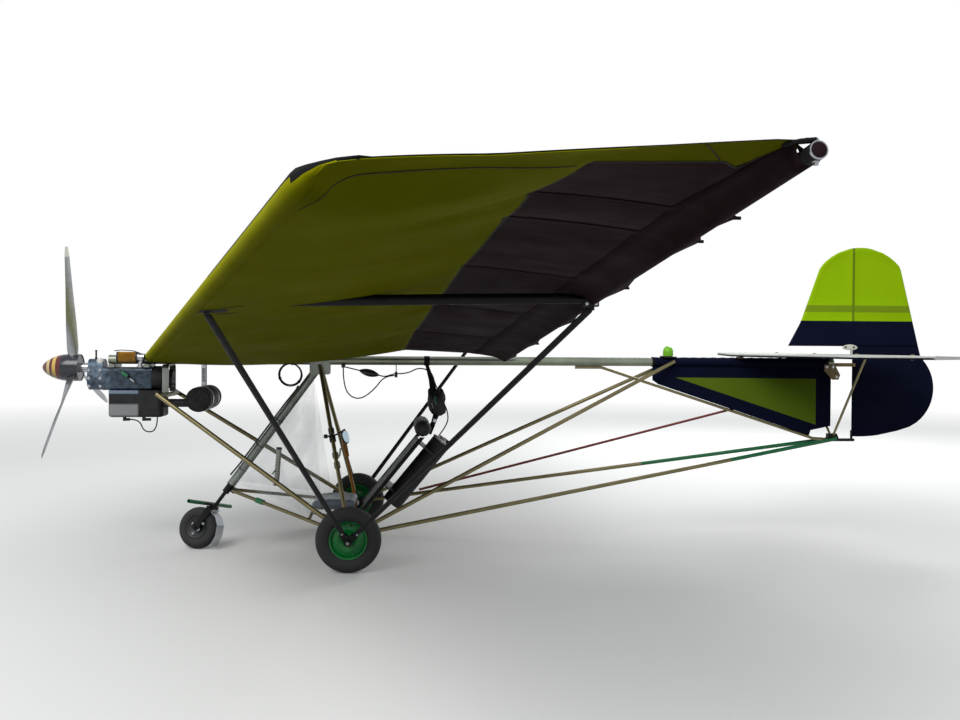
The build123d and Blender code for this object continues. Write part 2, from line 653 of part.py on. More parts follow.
with BuildPart() as nose_tyre:
    with BuildSketch(fork_plane(along=FORK.z_dir)):
        with BuildLine():
            Polyline((NOSE_RIM_R + 2, -26), (NOSE_SEAT_R, -24), (NOSE_SEAT_R, 24),
                     (NOSE_RIM_R + 2, 26))
            ThreePointArc((NOSE_RIM_R + 2, 26), (CORE_R, NOSE_WHEEL_W / 2),
                          (CORE_R + 27, 27))
            ThreePointArc((CORE_R + 27, 27), (NOSE_WHEEL_R, 0), (CORE_R + 27, -27))
            ThreePointArc((CORE_R + 27, -27), (CORE_R, -NOSE_WHEEL_W / 2),
                          (NOSE_RIM_R + 2, -26))
        make_face()
    revolve(axis=Axis(NOSE_AXLE, FORK_Y))
finish(nose_tyre, "nose_tyre")

# Engine mount: a saddle block under the keel, and a hoop down to the cross tube
MOUNT_TOP = KEEL_Z - KEEL_R - SEAT
MOUNT_L = 40.0
HOOP_HALF = 100.0
HOOP_T = 6.0
HOOP_FOOT = CROSS_TUBE[1] + (CROSS_TUBE_OD + HOOP_T) / 2 + SEAT
with BuildPart() as engine_mount:
    for block_x in (CASE_X[0] + 60, CASE_X[1] - 30):
        with BuildSketch(Plane.XY.offset(CASE_Z[1] + SEAT)):
            with Locations((block_x, 0)):
                RectangleRounded(MOUNT_L, CASE_W, 8)
        extrude(amount=MOUNT_TOP - CASE_Z[1] - SEAT)
    with BuildSketch(Plane(origin=(CROSS_TUBE[0] - MOUNT_L / 2, 0, 0), x_dir=(0, 1, 0),
                           z_dir=(1, 0, 0))):
        with BuildLine():
            hoop = FilletPolyline((-HOOP_HALF, HOOP_FOOT),
                                  (-HOOP_HALF, MOUNT_TOP - HOOP_T / 2),
                                  (HOOP_HALF, MOUNT_TOP - HOOP_T / 2),
                                  (HOOP_HALF, HOOP_FOOT), radius=24)
            offset(hoop, amount=HOOP_T / 2, side=Side.BOTH)
        make_face()
    extrude(amount=MOUNT_L)
finish(engine_mount, "engine_mount")

# Engine: crankcase, fan and starter in line, cylinders hanging in a cooling shroud
CASE_H = CASE_Z[1] - CASE_Z[0]
RIB_PITCH = 13.0
RIBS = 9
with BuildPart() as engine_case:
    with BuildSketch(Plane(origin=(CASE_X[0], 0, (CASE_Z[0] + CASE_Z[1]) / 2), x_dir=(0, 1, 0),
                           z_dir=(1, 0, 0))):
        RectangleRounded(CASE_W - 24, CASE_H, 22)
    extrude(amount=CASE_X[1] - CASE_X[0])
    for rib in range(RIBS):
        with BuildSketch(Plane.XY.offset(CASE_Z[0] + 16 + rib * RIB_PITCH)):
            with Locations(((CASE_X[0] + CASE_X[1]) / 2 + 24, 0)):
                RectangleRounded(CASE_X[1] - CASE_X[0] - 48, CASE_W, 10)
        extrude(amount=4)
finish(engine_case, "engine_case")

with BuildPart() as cooling_fan:
    with BuildSketch(Plane(origin=(FAN_X[0], 0, CRANK_Z), z_dir=(1, 0, 0))):
        Circle(FAN_R)
    extrude(amount=FAN_X[1] - FAN_X[0])
    with BuildSketch(Plane(origin=(FAN_X[1], 0, CRANK_Z), z_dir=(1, 0, 0))):
        Circle(STARTER_R)
    extrude(amount=STARTER_L, taper=14)
finish(cooling_fan, "fan_and_starter")

with BuildPart() as shroud:
    with BuildSketch(Plane(origin=((SHROUD_X[0] + SHROUD_X[1]) / 2, 0, SHROUD_Z[0]))):
        RectangleRounded(SHROUD_X[1] - SHROUD_X[0], SHROUD_W, 34)
    extrude(amount=SHROUD_Z[1] - SHROUD_Z[0])
    fillet(shroud.edges().group_by(Axis.Z)[0], 18)
    with Locations(Plane(origin=(FAN_X[0], 0, CRANK_Z), z_dir=(1, 0, 0))):
        Cylinder(FAN_R + SEAT, 2 * (FAN_L + STARTER_L), mode=Mode.SUBTRACT)
finish(shroud, "cooling_shroud")

with BuildPart() as gearbox:
    with BuildSketch(Plane(origin=(GEARBOX_X[0], 0, 0), x_dir=(0, 1, 0), z_dir=(1, 0, 0))):
        with Locations((0, PROP_Z)):
            Circle(56)
        with Locations((0, CRANK_Z)):
            Circle(70)
        make_hull()
    extrude(amount=GEARBOX_X[1] - GEARBOX_X[0])
    with Locations(Plane(origin=(GEARBOX_X[0], 0, PROP_Z), z_dir=(-1, 0, 0))):
        Hole(14 + RUNNING, depth=40)
finish(gearbox, "gearbox")

PIPE_Y = -52.0
PIPE_Z = 930.0
PIPE_R = 26.0
with BuildPart() as silencer:
    with BuildSketch(side_plane(-DRUM_W / 2)):
        with Locations((DRUM_X, DRUM_Z)):
            Circle(DRUM_R)
    extrude(amount=-DRUM_W)
    fillet(silencer.edges(), 14)
    for ring_y in (-92, 92):
        with BuildSketch(side_plane(ring_y - 4)):
            with Locations((DRUM_X, DRUM_Z)):
                Circle(DRUM_R + 3)
        extrude(amount=-8)
    with BuildSketch(Plane(origin=(SHROUD_X[1] + SEAT, PIPE_Y, PIPE_Z), z_dir=(1, 0, 0))):
        Circle(PIPE_R)
    extrude(amount=PIPE_L)
finish(silencer, "silencer")

HANGER_HALF = 20.0
with BuildPart() as drum_hanger:
    for side in SIDES:
        with Locations((DRUM_X, side * HANGER_HALF, (DRUM_Z + KEEL_Z) / 2)):
            Box(26, 3, KEEL_Z - DRUM_Z)
    with Locations(Plane(origin=(DRUM_X, 0, DRUM_Z), z_dir=(0, 1, 0))):
        Cylinder(DRUM_R + SEAT, DRUM_W, mode=Mode.SUBTRACT)
    with Locations(Plane(origin=(DRUM_X, 0, KEEL_Z), z_dir=(1, 0, 0))):
        Cylinder(KEEL_R + SEAT, 100, mode=Mode.SUBTRACT)
finish(drum_hanger, "drum_hanger")

# Carburettor with its round air filter, on an elbow that stands on the crankcase
FILTER_R = 34.0
FILTER_X = (CASE_FRONT_X + 91.5, CASE_FRONT_X + 217.5)
CARB_R = 22.0
CARB_L = 42.0
CARB_Y = -68.0
CARB_Z = 1218.0
ELBOW_R = 15.0
ELBOW_IN = 10.0                 # elbow inboard of the carburettor's line
with BuildPart() as carburettor:
    for part_r, part_x, part_l in (
        (FILTER_R, FILTER_X[0], FILTER_X[1] - FILTER_X[0]),
        (CARB_R, FILTER_X[1] - 1, CARB_L),
        (CARB_R + 5, FILTER_X[1] - 1, 7),
    ):
        with BuildSketch(Plane(origin=(part_x, CARB_Y, CARB_Z), z_dir=(1, 0, 0))):
            Circle(part_r)
        extrude(amount=part_l)
    with BuildSketch(Plane.XY.offset(CASE_Z[1] + SEAT)):
        with Locations((FILTER_X[1] + CARB_L / 2 - ELBOW_IN, CARB_Y + ELBOW_IN)):
            Circle(ELBOW_R)
    extrude(amount=CARB_Z - CASE_Z[1])
finish(carburettor, "carburettor")

# Spark plug caps under the shroud: a stub on the plug and a barrel that points aft
CAP_R = 9.0
CAP_Z = SHROUD_Z[0] - 20
CAP_STUBS = (SHROUD_X[0] + 79, SHROUD_X[0] + 198)
CAP_BARRELS = (33.0, 44.0)
with BuildPart() as plug_caps:
    for stub_x, barrel in zip(CAP_STUBS, CAP_BARRELS):
        with Locations((stub_x, 0, CAP_Z - CAP_R)):
            Cylinder(CAP_R + 2, SHROUD_Z[0] - SEAT - CAP_Z + CAP_R,
                     align=(Align.CENTER, Align.CENTER, Align.MIN))
        with Locations(Plane(origin=(stub_x, 0, CAP_Z), z_dir=(1, 0, 0))):
            Cylinder(CAP_R, barrel, align=(Align.CENTER, Align.CENTER, Align.MIN))
finish(plug_caps, "plug_caps")

# Propeller, spinner and hub, in a frame whose X runs along the shaft
HUB_OUT_R = 50.0
with BuildPart() as prop_hub:
    with BuildSketch(Plane(origin=(0, 0, PROP_Z), x_dir=(1, 0, 0), z_dir=(0, -1, 0))):
        with BuildLine():
            Polyline((PROP_X - 30, 0), (PROP_X - 30, HUB_OUT_R), (PROP_X + 30, HUB_OUT_R),
                     (PROP_X + 30, 30), (GEARBOX_X[0] - 3, 30), (GEARBOX_X[0] - 3, 14),
                     (GEARBOX_X[0] + 36, 14), (GEARBOX_X[0] + 36, 0), close=True)
        make_face()
    revolve(axis=Axis((0, 0, PROP_Z), (1, 0, 0)))
finish(prop_hub, "prop_hub")

BLADE_SECTIONS = (
    # share of the radius, chord, thickness
    ((HUB_OUT_R + SEAT) / PROP_R, 52.0, 26.0),
    (0.16, 74.0, 20.0),
    (0.36, 88.0, 13.0),
    (0.66, 76.0, 9.0),
    (0.93, 56.0, 6.0),
    (1.0, 34.0, 4.0),
)


def blade_way(blade):
    """Direction of one blade from the shaft."""
    turn = PROP_LEAN + blade * 2 * pi / BLADES
    return Vector(0, -sin(turn), cos(turn))


with BuildPart() as prop_blades:
    for blade in range(BLADES):
        way = blade_way(blade)
        round_way = Vector(1, 0, 0).cross(way)
        for share, chord, thick in BLADE_SECTIONS:
            radius = share * PROP_R
            pitch = atan(PROP_PITCH / (2 * pi * radius))
            level = round_way * cos(pitch) - Vector(1, 0, 0) * sin(pitch)
            centre = Vector(PROP_X, 0, PROP_Z) + way * radius
            with BuildSketch(Plane(origin=centre, x_dir=level, z_dir=way)):
                with BuildLine():
                    Line((-chord / 2, 0), (chord / 2, 0))
                    ThreePointArc((-chord / 2, 0), (-chord * 0.1, thick), (chord / 2, 0))
                make_face()
        loft(ruled=True)
finish(prop_blades, "prop_blades")

BLADE_PORT = 66.0
SPINNER_INNER_X = SPINNER_FRONT_X + 4 * SPINNER_T
NOSE_FLAT_R = 3.0


def ogive(rear_r, front_x):
    """Nose curve that leaves the rear rim square to it and ends in a small flat."""
    return Bezier((SPINNER_REAR_X, rear_r), (SPINNER_REAR_X - SPINNER_L * 0.55, rear_r),
                  (front_x, NOSE_FLAT_R))


with BuildPart() as spinner:
    with BuildSketch(Plane(origin=(0, 0, PROP_Z), x_dir=(1, 0, 0), z_dir=(0, -1, 0))):
        with BuildLine():
            ogive(SPINNER_R, SPINNER_FRONT_X)
            Polyline((SPINNER_FRONT_X, NOSE_FLAT_R), (SPINNER_FRONT_X, 0), (SPINNER_INNER_X, 0),
                     (SPINNER_INNER_X, NOSE_FLAT_R))
            ogive(SPINNER_R - SPINNER_T, SPINNER_INNER_X)
            Line((SPINNER_REAR_X, SPINNER_R - SPINNER_T), (SPINNER_REAR_X, SPINNER_R))
        make_face()
    revolve(axis=Axis((0, 0, PROP_Z), (1, 0, 0)))
    with BuildSketch(Plane(origin=(SPINNER_REAR_X - 7, 0, PROP_Z), z_dir=(1, 0, 0))):
        Circle(SPINNER_R - SPINNER_T / 2)
        Circle(30 + SEAT, mode=Mode.SUBTRACT)
    extrude(amount=5)
    for blade in range(BLADES):
        with Locations(Plane(origin=(PROP_X, 0, PROP_Z), x_dir=(1, 0, 0), z_dir=blade_way(blade))):
            Box(BLADE_PORT, BLADE_PORT, 2 * SPINNER_R,
                align=(Align.CENTER, Align.CENTER, Align.MIN), mode=Mode.SUBTRACT)
finish(spinner, "spinner")

# Ventral fin under the keel, with the bent tube along its lower edge
FIN_TOP = KEEL_Z - KEEL_R - SEAT
FIN_TUBE_Z = FIN_TOP - FIN_TUBE_OD / 2
FIN_TUBE_ROUTE = ((463, 0, FIN_TUBE_Z), (640, 0, FIN_TUBE_Z), (2090, 0, 692),
                  (TAIL_JOINT[0] - 32, 0, TAIL_JOINT[1]))
FIN_SLOPE = (FIN_TUBE_ROUTE[2][2] - FIN_TUBE_ROUTE[1][2]) / (FIN_TUBE_ROUTE[2][0] - FIN_TUBE_ROUTE[1][0])


def fin_edge(x):
    """Point of the fin's lower edge, just above its tube."""
    lift = (FIN_TUBE_OD / 2 + SEAT) * (1 + FIN_SLOPE ** 2) ** 0.5
    return x, FIN_TUBE_Z + FIN_SLOPE * (x - FIN_TUBE_ROUTE[1][0]) + lift


with BuildPart() as fin_tube:
    with BuildLine() as fin_line:
        FilletPolyline(*FIN_TUBE_ROUTE, radius=60)
    with BuildSketch(Plane(origin=FIN_TUBE_ROUTE[0], z_dir=(1, 0, 0))):
        Circle(FIN_TUBE_OD / 2)
    sweep()
finish(fin_tube, "fin_tube")

FIN_NOTCH_X = 2062.0
FIN_NOTCH_Z = 758.0
with BuildPart() as fin:
    with BuildSketch(side_plane(0)):
        with BuildLine():
            Polyline((FIN_FRONT_X, FIN_TOP), (FIN_REAR_X, FIN_TOP), (FIN_REAR_X, FIN_NOTCH_Z),
                     (FIN_NOTCH_X + 16, FIN_NOTCH_Z), fin_edge(FIN_NOTCH_X), fin_edge(FIN_FRONT_X),
                     close=True)
        make_face()
    extrude(amount=FIN_T / 2, both=True)
finish(fin, "ventral_fin")

# Tail joint: a block that takes the tail tubes, the fin tube and the rudder's lower pivot
JOINT_FRONT_X = TAIL_JOINT[0] - 31.3
PIVOT_R = 8.0
PIVOT_TOP = TAIL_JOINT[1] + 60
with BuildPart() as tail_joint:
    with BuildSketch(side_plane(0)):
        with BuildLine():
            Polyline((JOINT_FRONT_X, TAIL_JOINT[1] - 14), (RUDDER_X + 14, TAIL_JOINT[1] - 14),
                     (RUDDER_X + 14, TAIL_JOINT[1] + 4), (TAIL_JOINT[0] + 44, TAIL_JOINT[1] + 4),
                     (TAIL_JOINT[0] + 30, TAIL_JOINT[1] + 38), (JOINT_FRONT_X, TAIL_JOINT[1] + 38),
                     close=True)
        make_face()
    extrude(amount=TAIL_JOINT_W / 2, both=True)
    with Locations((RUDDER_X, 0, TAIL_JOINT[1])):
        Cylinder(PIVOT_R, PIVOT_TOP - TAIL_JOINT[1],
                 align=(Align.CENTER, Align.CENTER, Align.MIN))
finish(tail_joint, "tail_joint")

# Stabiliser, elevator and their struts
STAB_Z = KEEL_Z + KEEL_R + STAB_LIFT + STAB_T / 2
STAB_REAR_X = HINGE_X - STAB_T / 2 - CLEAR
HINGE_YS = (-1000, -320, 320, 1000)
with BuildPart() as stabiliser:
    with BuildSketch(Plane.XY.offset(STAB_Z - STAB_T / 2)) as stab_plan:
        with BuildLine():
            Polyline((STAB_LE_X, 0), (STAB_TIP_LE_X, STAB_HALF), (STAB_REAR_X, STAB_HALF),
                     (STAB_REAR_X, -STAB_HALF), (STAB_TIP_LE_X, -STAB_HALF), close=True)
        make_face()
        fillet(stab_plan.vertices().group_by(Axis.X)[1], 90)
    extrude(amount=STAB_T)
    fillet(stabiliser.edges().filter_by(GeomType.LINE).filter_by(Plane.XY).sort_by(Axis.X)[:4], 8)
finish(stabiliser, "stabiliser")

NOTCH_Y = (60.0, 150.0)
HORN_Y = 96.0
with BuildPart() as elevator:
    with BuildSketch(side_plane(-STAB_HALF)):
        with BuildLine():
            Polyline((HINGE_X, STAB_Z + STAB_T / 2), (ELEVATOR_TE_X, STAB_Z + 4),
                     (ELEVATOR_TE_X, STAB_Z - 4), (HINGE_X, STAB_Z - STAB_T / 2), close=True)
        make_face()
    extrude(amount=-2 * STAB_HALF)
    with BuildSketch(Plane.XY.offset(STAB_Z - STAB_T)) as notch:
        with BuildLine():
            Polyline((HINGE_X - 1, -NOTCH_Y[0]), (ELEVATOR_TE_X + 1, -NOTCH_Y[1]),
                     (ELEVATOR_TE_X + 1, NOTCH_Y[1]), (HINGE_X - 1, NOTCH_Y[0]), close=True)
        make_face()
        for hinge_y in HINGE_YS:
            with Locations((HINGE_X + 14, hinge_y)):
                Rectangle(30, 34)
    extrude(amount=2 * STAB_T, mode=Mode.SUBTRACT)
    fillet(elevator.edges().filter_by(Axis.Z).group_by(Axis.Y)[0].sort_by(Axis.X)[-1:], 70)
    fillet(elevator.edges().filter_by(Axis.Z).group_by(Axis.Y)[-1].sort_by(Axis.X)[-1:], 70)
    with Locations(Plane(origin=(HINGE_X, 0, STAB_Z), z_dir=(0, 1, 0))):
        Cylinder(STAB_T / 2, 2 * STAB_HALF)
    with BuildSketch(side_plane(-HORN_Y)):
        with Locations((HINGE_X + 72, STAB_Z + 58)):
            Ellipse(32, 15)
        with Locations((HINGE_X + 72, STAB_Z + 30)):
            Rectangle(16, 60)
    extrude(amount=-4)
finish(elevator, "elevator")

STAB_STRUT_FOOT = Vector(TAIL_JOINT[0] + 2, 22, TAIL_JOINT[1] + 27)
STAB_STRUT_TOP = Vector(STAB_REAR_X - 30, 530, STAB_Z - STAB_T / 2)
with BuildPart() as stab_struts:
    for side in SIDES:
        seat, length = straight(on_side(STAB_STRUT_FOOT, side), on_side(STAB_STRUT_TOP, side), -12, -12)
        with BuildSketch(seat):
            Circle(8)
        extrude(amount=length)
    with Locations(STAB_STRUT_FOOT - Vector(0, STAB_STRUT_FOOT.Y, 0)):
        Box(90, TAIL_JOINT_W + 2 * SEAT, 90, mode=Mode.SUBTRACT)
    with Locations((STAB_STRUT_TOP.X, 0, STAB_Z)):
        Box(200, 2 * STAB_HALF, STAB_T + 2 * SEAT, mode=Mode.SUBTRACT)
finish(stab_struts, "stab_struts")

# Rudder: one panel that reaches over the stabiliser and hangs behind the keel
RUDDER_FOOT = TAIL_JOINT[1] + 17
BALANCE_Z = STAB_Z + 64
POST_R = 13.0
RUDDER_EDGE = (
    # aft of the post, height
    (80.0, RUDDER_FOOT), (0.0, RUDDER_FOOT), (0.0, BALANCE_Z), (-449.0, BALANCE_Z), (-361.0, 1478.0),
    (-232.0, 1840.0), (30.0, 1980.0), (312.0, 1858.0), (483.0, 1240.0), (555.0, 920.0),
    (340.0, 746.0), (214.0, 716.0),
)
KEEL_HINGE_Z = KEEL_Z - 14
HINGE_H = 24.0
with BuildPart() as rudder:
    with BuildSketch(side_plane(0)):
        with BuildLine():
            edge = [(RUDDER_X + aft, height) for aft, height in RUDDER_EDGE]
            Polyline(*edge[:6])
            ThreePointArc(*edge[5:8])
            Line(*edge[7:9])
            ThreePointArc(*edge[8:11])
            ThreePointArc(edge[10], edge[11], edge[0])
        make_face()
        with Locations((RUDDER_X, KEEL_HINGE_Z)):
            Rectangle(60, HINGE_H + 2 * CLEAR, mode=Mode.SUBTRACT)
    extrude(amount=RUDDER_T / 2, both=True)
    with Locations((RUDDER_X, 0, RUDDER_FOOT)):
        Cylinder(POST_R, BALANCE_Z - RUDDER_FOOT + 30,
                 align=(Align.CENTER, Align.CENTER, Align.MIN))
    with Locations((RUDDER_X, 0, RUDDER_FOOT)):
        Cylinder(PIVOT_R + RUNNING, 2 * (PIVOT_TOP - RUDDER_FOOT + 1), mode=Mode.SUBTRACT)
finish(rudder, "rudder")

# Saddles under the stabiliser, hinges of the elevator and the rudder's bracket on the keel's end
with BuildPart() as tail_hinges:
    for saddle_x in (STAB_LE_X + 60, STAB_REAR_X - 60):
        with Locations((saddle_x, 0, KEEL_Z + KEEL_R + STAB_LIFT / 2 - 2)):
            Box(36, 40, STAB_LIFT - SEAT + 4)
    with Locations(Plane(origin=(STAB_LE_X, 0, KEEL_Z), z_dir=(1, 0, 0))):
        Cylinder(KEEL_R + SEAT, 4 * STAB_HALF, mode=Mode.SUBTRACT)
    for hinge_y in HINGE_YS:
        with BuildSketch(side_plane(hinge_y - 10)):
            with Locations((HINGE_X, STAB_Z)):
                Circle(STAB_T / 2 + 5)
            with Locations((HINGE_X - STAB_T / 2 - CLEAR / 2, STAB_Z)):
                Rectangle(CLEAR - 2 * SEAT, STAB_T - 6)
            with Locations((HINGE_X, STAB_Z)):
                Circle(STAB_T / 2 + RUNNING, mode=Mode.SUBTRACT)
        extrude(amount=-20)
    with BuildSketch(Plane.XY.offset(KEEL_HINGE_Z - HINGE_H / 2)):
        with Locations((RUDDER_X, 0)):
            Circle(POST_R + 7)
        with Locations(((KEEL_REAR_X + RUDDER_X) / 2, 0)):
            Rectangle(RUDDER_X - KEEL_REAR_X - 2 * SEAT, 16)
        with Locations((RUDDER_X, 0)):
            Circle(POST_R + RUNNING, mode=Mode.SUBTRACT)
    extrude(amount=HINGE_H)
finish(tail_hinges, "tail_hinges")

# Elevator push rod on the starboard side of the fin, and its bellcrank beside the keel
CRANK_ARM_Y = KEEL_R + SEAT
PUSH_ROD = (Vector(-560, 20, 360), Vector(2200, 20, 1054))
PUSH_ROD_R = 8.0
with BuildPart() as push_rod:
    seat, length = straight(*PUSH_ROD)
    with BuildSketch(seat):
        Circle(PUSH_ROD_R)
    extrude(amount=length)
finish(push_rod, "push_rod")

with BuildPart() as bellcrank:
    with BuildSketch(side_plane(CRANK_ARM_Y)):
        with Locations((PUSH_ROD[1].X, (KEEL_Z + 6 + PUSH_ROD[1].Z - 14) / 2)):
            RectangleRounded(28, KEEL_Z + 6 - PUSH_ROD[1].Z + 14, 9)
    extrude(amount=-4)
finish(bellcrank, "bellcrank")

BEACON_X = 1088.0
BEACON_H = 50.0
with BuildPart() as beacon:
    with Locations((BEACON_X, 0, KEEL_Z)):
        Cylinder(24, KEEL_R + 14, align=(Align.CENTER, Align.CENTER, Align.MIN))
        Cylinder(19, KEEL_R + BEACON_H, align=(Align.CENTER, Align.CENTER, Align.MIN))
    fillet(beacon.edges().sort_by(Axis.Z)[-1], 14)
    with Locations(Plane(origin=(BEACON_X, 0, KEEL_Z), z_dir=(1, 0, 0))):
        Cylinder(KEEL_R + SEAT, 100, mode=Mode.SUBTRACT)
finish(beacon, "beacon")

# Seat: two inclined side tubes from the axle, a cross tube between the lower tubes, two rails
SEAT_WAY = Vector(0.632, 0, 0.775).normalized()
SEAT_BACK = Vector(SEAT_WAY.Z, 0, -SEAT_WAY.X)
SEAT_FOOT = Vector(AXLE_X, 0, AXLE_Z)
SEAT_HALF = 205.0
SEAT_TUBE_OD = 25.0
SEAT_TUBE_L = 706.0
ROLL_R = 56.0
ROLL_HALF = 225.0
ROLL = SEAT_FOOT + SEAT_WAY * (SEAT_TUBE_L + ROLL_R / 2) - SEAT_BACK * 32


def seat_plane(up, back=0.0, y=0.0):
    """Plane square to the seat's back at a distance up it, with its own X across."""
    origin = SEAT_FOOT + SEAT_WAY * up + SEAT_BACK * back + Vector(0, y, 0)
    return Plane(origin=origin, x_dir=(0, 1, 0), z_dir=SEAT_WAY)


with BuildPart() as seat_frame:
    for side in SIDES:
        with BuildSketch(seat_plane(0, y=side * SEAT_HALF)):
            Circle(SEAT_TUBE_OD / 2)
            Circle(SEAT_TUBE_OD / 2 - SPAR_WALL, mode=Mode.SUBTRACT)
        extrude(amount=SEAT_TUBE_L)
    with Locations(across(AXLE_X, AXLE_Z)):
        Cylinder(AXLE_OD / 2 + SEAT, 4 * SEAT_HALF, mode=Mode.SUBTRACT)
    with Locations(across(ROLL.X, ROLL.Z)):
        Cylinder(ROLL_R + SEAT, 4 * SEAT_HALF, mode=Mode.SUBTRACT)
finish(seat_frame, "seat_frame")

with BuildPart() as headrest:
    with BuildSketch(side_plane(-ROLL_HALF)):
        with Locations((ROLL.X, ROLL.Z)):
            Circle(ROLL_R)
    extrude(amount=-2 * ROLL_HALF)
    fillet(headrest.edges(), 14)
finish(headrest, "headrest_roll")

SEAT_CROSS_X = -1235.0


def lower_tube_at(x):
    """Point of the starboard lower tube's line at one station."""
    share = (x - AXLE_JOINT.X) / (NOSE_JOINT.X - AXLE_JOINT.X)
    return AXLE_JOINT + (NOSE_JOINT - AXLE_JOINT) * share


def meeting_setback(own_od, other_od, angle):
    """Distance from another tube's line to the square end of a tube that meets it at an angle."""
    return other_od / 2 / sin(angle) + own_od / 2 / tan(angle) + SEAT


CROSS_AT = lower_tube_at(SEAT_CROSS_X)
CROSS_ANGLE = radians((NOSE_JOINT - AXLE_JOINT).get_angle(Vector(0, -1, 0)))
SEAT_CROSS_HALF = CROSS_AT.Y - meeting_setback(LOWER_OD, LOWER_OD, CROSS_ANGLE)
RAIL_HALF = 160.0
with BuildPart() as seat_rails:
    with BuildSketch(side_plane(-SEAT_CROSS_HALF)):
        with Locations((CROSS_AT.X, CROSS_AT.Z)):
            Circle(LOWER_OD / 2)
            Circle(LOWER_OD / 2 - SPAR_WALL, mode=Mode.SUBTRACT)
    extrude(amount=-2 * SEAT_CROSS_HALF)
    for side in SIDES:
        seat, length = straight(Vector(CROSS_AT.X, side * RAIL_HALF, CROSS_AT.Z),
                                Vector(AXLE_X, side * RAIL_HALF, AXLE_Z), LOWER_OD / 2 - SPAR_WALL / 2)
        with BuildSketch(seat):
            Circle(9)
        extrude(amount=length)
    with Locations(across(AXLE_X, AXLE_Z)):
        Cylinder(AXLE_OD / 2 + SEAT, 4 * RAIL_HALF, mode=Mode.SUBTRACT)
finish(seat_rails, "seat_rails")

# Pleated seat pan, back panel between the side tubes, and the fuel tank behind it
PAN_X = (-1244.0, -956.0)
PAN_HALF = 186.0
PAN_T = 74.0
PAN_Z = CROSS_AT.Z + LOWER_OD / 2 + SEAT
with BuildPart() as seat_pan:
    with BuildSketch(Plane.XY.offset(PAN_Z)):
        with Locations(((PAN_X[0] + PAN_X[1]) / 2, 0)):
            RectangleRounded(PAN_X[1] - PAN_X[0], 2 * PAN_HALF, 30)
    extrude(amount=PAN_T)
    fillet(seat_pan.edges().group_by(Axis.Z)[-1], 24)
finish(seat_pan, "seat_pan")

BACK_FROM = 92.0
BACK_T = 24.0
BACK_HALF = SEAT_HALF - SEAT_TUBE_OD / 2 - SEAT
with BuildPart() as seat_back:
    with BuildSketch(seat_plane(BACK_FROM)):
        Rectangle(2 * BACK_HALF, BACK_T)
    extrude(amount=SEAT_TUBE_L - BACK_FROM - 50)
finish(seat_back, "seat_back")

TANK_R = 65.0
TANK_BACK = 131.0
TANK_SPAN = (222.0, 744.0)
with BuildPart() as fuel_tank:
    with BuildSketch(seat_plane(TANK_SPAN[0], TANK_BACK)):
        Circle(TANK_R)
    extrude(amount=TANK_SPAN[1] - TANK_SPAN[0])
    fillet(fuel_tank.edges(), 12)
    with BuildSketch(seat_plane(TANK_SPAN[1] - 1, TANK_BACK + 22)):
        Circle(27)
    extrude(amount=26)
finish(fuel_tank, "fuel_tank")

# Brackets that hold the tank off the seat's back
CRADLE_UPS = (300.0, 640.0)
CRADLE_T = 6.0
with BuildPart() as tank_cradle:
    for up in CRADLE_UPS:
        with BuildSketch(seat_plane(up)):
            with Locations((0, -BACK_T / 2 - SEAT)):
                Rectangle(2 * BACK_HALF, TANK_BACK - BACK_T / 2, align=(Align.CENTER, Align.MAX))
            with Locations((0, -TANK_BACK)):
                Circle(TANK_R + SEAT, mode=Mode.SUBTRACT)
        extrude(amount=CRADLE_T)
finish(tank_cradle, "tank_cradle")

STICK = (Vector(AXLE_X + 14, 236, AXLE_Z + 12), Vector(-1058, 236, 662))
with BuildPart() as control_stick:
    seat, length = straight(*STICK)
    with BuildSketch(seat):
        Circle(10)
    extrude(amount=length)
    with BuildSketch(seat.offset(length - 110)):
        Circle(16)
    extrude(amount=110)
    with Locations(across(AXLE_X, AXLE_Z)):
        Cylinder(AXLE_OD / 2 + SEAT, 4 * SEAT_HALF, mode=Mode.SUBTRACT)
finish(control_stick, "control_stick")

# Clear side sheets from the down tube back to the lower tubes
SHEET_T = 1.5
SHEET_OFF = DOWN_TUBE_OD / 2 + SEAT
SHEET = (Vector(-1244, SHEET_OFF, 1108), Vector(-1742, SHEET_OFF, 428), Vector(-1150, 478, 266))
with BuildPart() as windshield:
    for side in SIDES:
        top, nose, rear = (on_side(corner, side) for corner in SHEET)
        face = (nose - top).cross(rear - top)
        outward = face if face.Y * side > 0 else -face
        plane = Plane(origin=top, x_dir=nose - top, z_dir=outward)
        corners = [plane.to_local_coords(corner) for corner in (top, nose, rear)]
        with BuildSketch(plane):
            with BuildLine():
                Polyline(*[(corner.X, corner.Y) for corner in corners], close=True)
            make_face()
        extrude(amount=SHEET_T)
finish(windshield, "windshield")

